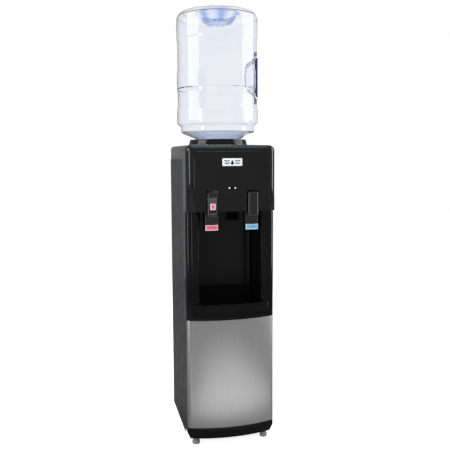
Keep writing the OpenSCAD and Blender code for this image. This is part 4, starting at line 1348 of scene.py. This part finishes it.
@dataclass
class Bottle:
    """Inverted bottle of clear plastic: ribs, shoulder, foot with a star, and a grip over a finger pocket."""

    axis_y: float = 14.0
    neck_z: float = 893.5
    radius: float = 135.5
    height: float = 482.5
    edge: float = 25.0
    grip_turn: float = -17.0
    wall: float = 1.7
    petals: int = 6

    def profile(self) -> Array:
        """The line from the neck's mouth along shoulder, ribs and foot to the punt's centre.

        Returns:
            Radii and heights over the mouth.
        """
        r, h = self.radius, self.height
        body = [[26.5, 0], [26.5, 56], [30, 60.5], [83, 80.5], [r - 17.5, 94.5], [r - 12.5, 100.5],
                [r - 12.5, 117], [r, 125], [r, 174], [r - 2.8, 182], [r - 2.8, 227], [r - 0.5, 236],
                [r - 0.5, 290], [r - 2.8, 299], [r - 2.8, 389], [r - 0.5, 398], [r - 0.5, h - 40]]
        cuts = [5, 3, 6, 5, 5, 4, 5, 5, 5, 5, 5, 5, 5, 5, 5, 12]
        turn = np.radians(np.linspace(0, 90, 16))
        dome = np.column_stack([r - 0.5 - self.edge + self.edge * np.cos(turn),
                                h - self.edge + self.edge * np.sin(turn)])
        line = soften(np.vstack([body, dome[:1]]), cuts, 4)
        foot = soften([dome[-1], [66, h], [42, h - 28], [0.0, h - 31]], [10, 12], 10)
        return np.vstack([line, dome[1:], foot[1:]])

    def refined(self, longest: float = 4.0) -> Array:
        """The profile with points added between its own.

        Args:
            longest: the longest step in millimetres.

        Returns:
            Radii and heights over the mouth.
        """
        line = self.profile()
        step = np.linalg.norm(np.diff(line, axis=0), axis=1)
        keep = np.concatenate([[True], step > 1e-6])
        line = line[keep]
        length = np.concatenate([[0], np.cumsum(np.linalg.norm(np.diff(line, axis=0), axis=1))])
        extra = np.linspace(0, length[-1], int(length[-1] / longest))
        where = np.unique(np.round(np.concatenate([length, extra]), 2))
        return np.column_stack([np.interp(where, length, line[:, k]) for k in (0, 1)])

    def shell(self) -> None:
        """The lathed profile, pushed flat where the finger pocket is, with a star of petals in the foot."""
        line = self.refined()
        grip = math.radians(self.grip_turn)
        fine = np.linspace(-32, 32, 80, endpoint=False)
        coarse = np.linspace(32, 328, 112, endpoint=False)
        turns = np.radians(np.concatenate([fine, coarse])) + grip
        points = turned_profile(line, 0, (0, 0), turns)
        out = np.array([math.cos(grip), math.sin(grip)])
        side = np.array([-math.sin(grip), math.cos(grip)])
        radial, across, z = points[..., :2] @ out, points[..., :2] @ side, points[..., 2]
        ends = np.maximum(0, np.maximum(234 - z, z - 312))
        limit = 89 + 5 * np.clip((z - 273) / 39, -1, 1) ** 2 + ends * 57 / 40
        beyond = np.maximum(0, np.abs(across) - 46) * 6
        limit = limit + beyond + 1.5 * (1 - np.cos(np.clip(across / 46, -1, 1) * np.pi / 2))
        soft = 3.0
        pushed = radial - soft * np.logaddexp(0, (radial - limit) / soft)
        body = (z > 150) & (z < 400)
        shift = np.where(body, pushed - radial, 0)
        points[..., :2] += shift[..., None] * out
        flat = np.hypot(points[..., 0], points[..., 1])
        angle = np.arctan2(points[..., 1], points[..., 0])
        foot = (z > self.height - 60) & (flat < 84)
        swell = np.sin(np.clip((flat - 12) / 62, 0, 1) * np.pi) ** 2
        fold = np.abs(np.cos(self.petals / 2 * angle))
        points[..., 2] += np.where(foot, -7 * swell * fold, 0)
        # painted shade: the tint deepens the blue on the pocket, the star and the low shoulder, where the
        # wall is seen edge-on; the wall itself stays even
        painted_shade = self.thickness(shift, across, z, flat, fold)
        points += [0, self.axis_y, self.neck_z]
        made = Mould().grid(points, around=True).mesh("bottle_shell", closed=False, sharp=85,
                                                      marks={"tint": painted_shade})
        dress(walled(made, self.wall), "bottle_plastic", "bottle_body", ["water_bottle"])

    def thickness(self, shift: Array, across: Array, z: Array, flat: Array, fold: Array) -> Array:
        """Painted shade for the tint, from 0 to 1: a deeper blue where the wall is seen edge-on.

        The wall itself is even. The pocket's floor and the slopes at its ends get the most. The star's petals
        come next, with paler folds between them, then the shoulder low down.

        Args:
            shift: how far the pocket pushes each point in.
            across: each point's distance to one side of the grip's middle plane.
            z: each point's height over the neck's mouth.
            flat: each point's distance from the bottle's axis.
            fold: the petals' rise, 1 on a petal and 0 between two.

        Returns:
            The tint at each point.
        """
        pushed = np.clip(-shift - 0.4, 0, 1)
        floor = np.clip((45.5 - np.abs(across)) / 1.5, 0, 1)
        ends = np.clip(np.maximum(236 - z, z - 310) / 22, 0, 1)
        pocket = pushed * floor * (0.8 + 0.2 * ends)
        punt = (z > self.height - 60) & (flat < 80)
        star = np.where(punt, np.clip((80 - flat) / 12, 0, 1) * (0.08 + 0.42 * (1 - fold) ** 0.8), 0)
        shoulder = 0.2 * np.clip((100 - z) / 14, 0, 1)
        return np.maximum(np.maximum(pocket, star), shoulder)

    def grip(self) -> None:
        """The grip: a rounded bar over the pocket that swells where it runs into the wall."""
        z = np.linspace(190, 356, 60)
        t = (z - 190) / 166
        ends = np.exp(-t / 0.06) + np.exp(-(1 - t) / 0.06)
        bar = Outline.rectangle((118.5, -10.5), (130.9, 10.5), 4.5, 6)
        centre = np.array([124.7, 0.0])
        spread = 1 + 0.12 * ends[:, None]
        plan = bar.points[None] - centre
        plan = centre + np.stack([plan[..., 0] * np.ones_like(spread), plan[..., 1] * (spread + 0.1)], axis=2)
        turn = math.radians(self.grip_turn)
        x = plan[..., 0] * math.cos(turn) - plan[..., 1] * math.sin(turn)
        y = plan[..., 0] * math.sin(turn) + plan[..., 1] * math.cos(turn) + self.axis_y
        rows = np.stack([x, y, np.broadcast_to((z + self.neck_z)[:, None], x.shape)], axis=2)
        mould = Mould().grid(rows, around=True).lid(rows[0], flip=True).lid(rows[-1])
        dress(mould.mesh("bottle_grip"), "bottle_plastic", "bottle_body", ["water_bottle"], "grip_plastic")

    def seat(self) -> None:
        """The collar round the bottle's shoulder, and the funnel and well inside it."""
        line = [[10.3, 885.5], [36, 885.5], [36, 922], [62, 943], [90.5, 943], [90.5, 948.3], [98, 948.3],
                [98, 952], [94, 968], [88, 968], [86, 948], [60, 948], [33, 926], [33, 888.5], [10.3, 888.5]]
        cuts = [0.1, 1, 3, 3, 0.3, 0.3, 0.8, 1.5, 2.2, 2.2, 4, 4, 3, 1]
        profile = soften(line, cuts[:13], 5)
        profile = np.vstack([profile, profile[:1]])
        mould = Mould().grid(turned_profile(profile, 128, (0, self.axis_y)), around=True)
        dress(mould.mesh("seat_collar"), "seat_plastic", replaces=["bottle_seat"])

    def build(self) -> None:
        """Builds the bottle and its seat."""
        self.shell()
        self.grip()
        self.seat()


# ------------------------------------------------------------------ rear


@dataclass
class Condenser:
    """Serpentine tube behind the rear sheet, with upright cooling wires."""

    half: float = 100.0
    y: float = 187.65
    low: float = 130.0
    pitch: float = 36.0
    passes: int = 12
    radius: float = 2.4

    def build(self) -> None:
        """One tube along straight passes joined by half-circles, and the wires behind it."""
        r = self.pitch / 2
        path = []
        for i in range(self.passes):
            way = 1 if i % 2 == 0 else -1
            z = self.low + i * self.pitch
            path.append(np.column_stack([np.linspace(-way * self.half, way * self.half, 12), np.full(12, z)]))
            if i < self.passes - 1:
                turn = np.radians(np.linspace(-90, 90, 14))[1:-1]
                path.append(np.column_stack([way * (self.half + r * np.cos(turn)), z + r + r * np.sin(turn)]))
        flat = np.vstack(path)
        line = np.column_stack([flat[:, 0], np.full(len(flat), self.y), flat[:, 1]])
        rows = tube(line, self.radius, (0, 1, 0), 12)
        mould = Mould().grid(rows, around=True).lid(rows[0]).lid(rows[-1])
        for x in range(-96, 97, 12):
            z = np.array([self.low - 14, self.low + (self.passes - 1) * self.pitch + 14])
            wire = tube(np.column_stack([np.full(2, x), np.full(2, self.y + 3.35), z]), 0.9, (0, 1, 0), 8)
            mould.grid(wire, around=True).lid(wire[0]).lid(wire[-1])
        dress(mould.mesh("condenser_tube"), "black_paint", replaces=["condenser_coil"])


# ------------------------------------------------------------------ the rest


def dress_frame() -> None:
    """Gives every CAD node that stays in view the procedural finish of its material slot."""
    slots = {part["node"]: part["material_slot"] for part in frame["record"]["subparts"]}
    for name, node in frame["nodes"].items():
        finish = FINISHES.get(slots[name])
        if not node.material_slots:
            node.data.materials.append(finish)
        for place in node.material_slots:
            place.material = finish
        LOG.info("node %s has finish %s", name, slots[name])


@dataclass
class Studio:
    """Pale floor, white surroundings, soft lights and the camera."""

    camera_at: tuple[float, float, float] = (-0.445, -1.983, 0.911)
    yaw: float = 13.17
    pitch: float = -5.5
    roll: float = 0.30
    focal: float = 48.84
    shift: float = -0.0205
    floor_glow: float = 0.8

    def camera(self) -> None:
        """The camera, at its place, turned towards the front from the left."""
        data = bpy.data.cameras.new("camera")
        data.lens, data.sensor_width, data.shift_y = self.focal, 36, self.shift
        made = bpy.data.objects.new("camera", data)
        made.location = self.camera_at
        made.rotation_euler = Euler((math.radians(90 + self.pitch), math.radians(self.roll),
                                     math.radians(-self.yaw)), "XYZ")
        bpy.context.scene.collection.objects.link(made)
        bpy.context.scene.camera = made

    def floor(self) -> None:
        """A wide round floor whose own faint light keeps it white but for the shadow on it."""
        ring = turned_profile(np.array([[0.0, 0.0], [300, 0], [700, 0], [1500, 0], [2600, 0]]), 64)
        made = Mould().grid(ring, around=True).mesh("studio_floor", closed=False)
        recipe = Recipe("studio_floor")
        recipe.set(Roughness=0.8, Emission_Color=(1, 1, 1, 1), Emission_Strength=self.floor_glow)
        recipe.join(recipe.blend(recipe.noise(6), (0.88, 0.88, 0.88), (0.9, 0.9, 0.9)),
                    recipe.shader.inputs["Base Color"])
        dim = recipe.node("ShaderNodeBsdfDiffuse")
        dim.inputs["Color"].default_value = (0.3, 0.3, 0.3, 1)
        choice = recipe.node("ShaderNodeMixShader")
        rays = recipe.node("ShaderNodeLightPath")
        seen = recipe.node("ShaderNodeMath", operation="MAXIMUM")
        recipe.join(rays.outputs["Is Camera Ray"], seen.inputs[0])
        recipe.join(rays.outputs["Is Transmission Ray"], seen.inputs[1])
        recipe.join(seen.outputs[0], choice.inputs[0])
        recipe.join(dim.outputs[0], choice.inputs[1])
        recipe.join(recipe.shader.outputs[0], choice.inputs[2])
        recipe.join(choice.outputs[0], recipe.output.inputs["Surface"])
        made.data.materials.append(recipe.material)

    def world(self) -> None:
        """White surroundings behind the object, and a dimmer grey for what reflects them."""
        world = bpy.data.worlds.new("studio")
        world.use_nodes = True
        bpy.context.scene.world = world
        nodes, links = world.node_tree.nodes, world.node_tree.links
        back = nodes["Background"]
        back.inputs["Color"].default_value = (1, 1, 1, 1)
        rays = nodes.new("ShaderNodeLightPath")
        seen = nodes.new("ShaderNodeMath")
        seen.operation = "MAXIMUM"
        links.new(rays.outputs["Is Camera Ray"], seen.inputs[0])
        links.new(rays.outputs["Is Transmission Ray"], seen.inputs[1])
        level = nodes.new("ShaderNodeMapRange")
        level.inputs["To Min"].default_value, level.inputs["To Max"].default_value = 0.26, 1.0
        links.new(seen.outputs["Value"], level.inputs["Value"])
        links.new(level.outputs["Result"], back.inputs["Strength"])

    @staticmethod
    def panel(name: str, at: Sequence[float], aim: Sequence[float], size: tuple[float, float],
              power: float, mirrored: bool = True) -> None:
        """Adds one soft rectangular light.

        Args:
            name: the light's name.
            at: its place in metres.
            aim: the point that it faces.
            size: its width and height in metres.
            power: its power in watts.
            mirrored: whether it leaves a glint on gloss.
        """
        data = bpy.data.lights.new(name, "AREA")
        data.shape, data.size, data.size_y, data.energy = "RECTANGLE", size[0], size[1], power
        made = bpy.data.objects.new(name, data)
        made.location = at
        made.rotation_euler = (Vector(aim) - Vector(at)).to_track_quat("-Z", "Y").to_euler()
        made.visible_camera = made.visible_transmission = False
        made.visible_glossy = mirrored
        bpy.context.scene.collection.objects.link(made)

    def lights(self) -> None:
        """High panels for the bottle, low strips for the cabinet's edges, a card before the steel, a fill."""
        self.panel("light_left_high", (-1.9, -0.2, 1.75), (0, 0, 1.2), (1.3, 1.3), 15)
        self.panel("light_right_high", (1.9, -0.4, 1.75), (0, 0, 1.2), (1.5, 1.3), 15)
        self.panel("light_left_low", (-1.7, -0.95, 0.75), (0, 0, 0.6), (0.35, 1.0), 5)
        self.panel("light_right_low", (1.75, -0.6, 0.75), (0, 0, 0.6), (0.35, 1.0), 7)
        self.panel("light_card", (0.08, -0.8, 0.015), (0.08, -0.8, 1.0), (0.6, 1.0), 1.4)
        self.panel("light_top", (0.0, -0.5, 2.6), (0, 0, 0.9), (1.4, 1.4), 5)
        self.panel("light_rear", (0.9, 1.7, 1.3), (0, 0, 0.7), (1.2, 1.6), 20)
        self.panel("light_fill", (-1.0, -1.9, 1.0), (0, 0, 0.7), (0.6, 0.5), 14, mirrored=False)

    def build(self) -> None:
        """Builds the studio."""
        self.camera()
        self.floor()
        self.world()
        self.lights()
        bpy.context.scene.view_settings.view_transform = "Standard"


def main() -> None:
    """Builds every sub-assembly in turn."""
    logging.basicConfig(level=logging.INFO, format="%(name)s: %(message)s")
    dress_frame()
    Base().build()
    LowerFront().build()
    Alcove().build()
    Tray().build()
    Head().build()
    Tap("hot", -63.5, True).build()
    Tap("cold", 63.5, False).build()
    Bottle().build()
    Condenser().build()
    Studio().build()


if __name__ == "__main__":
    main()
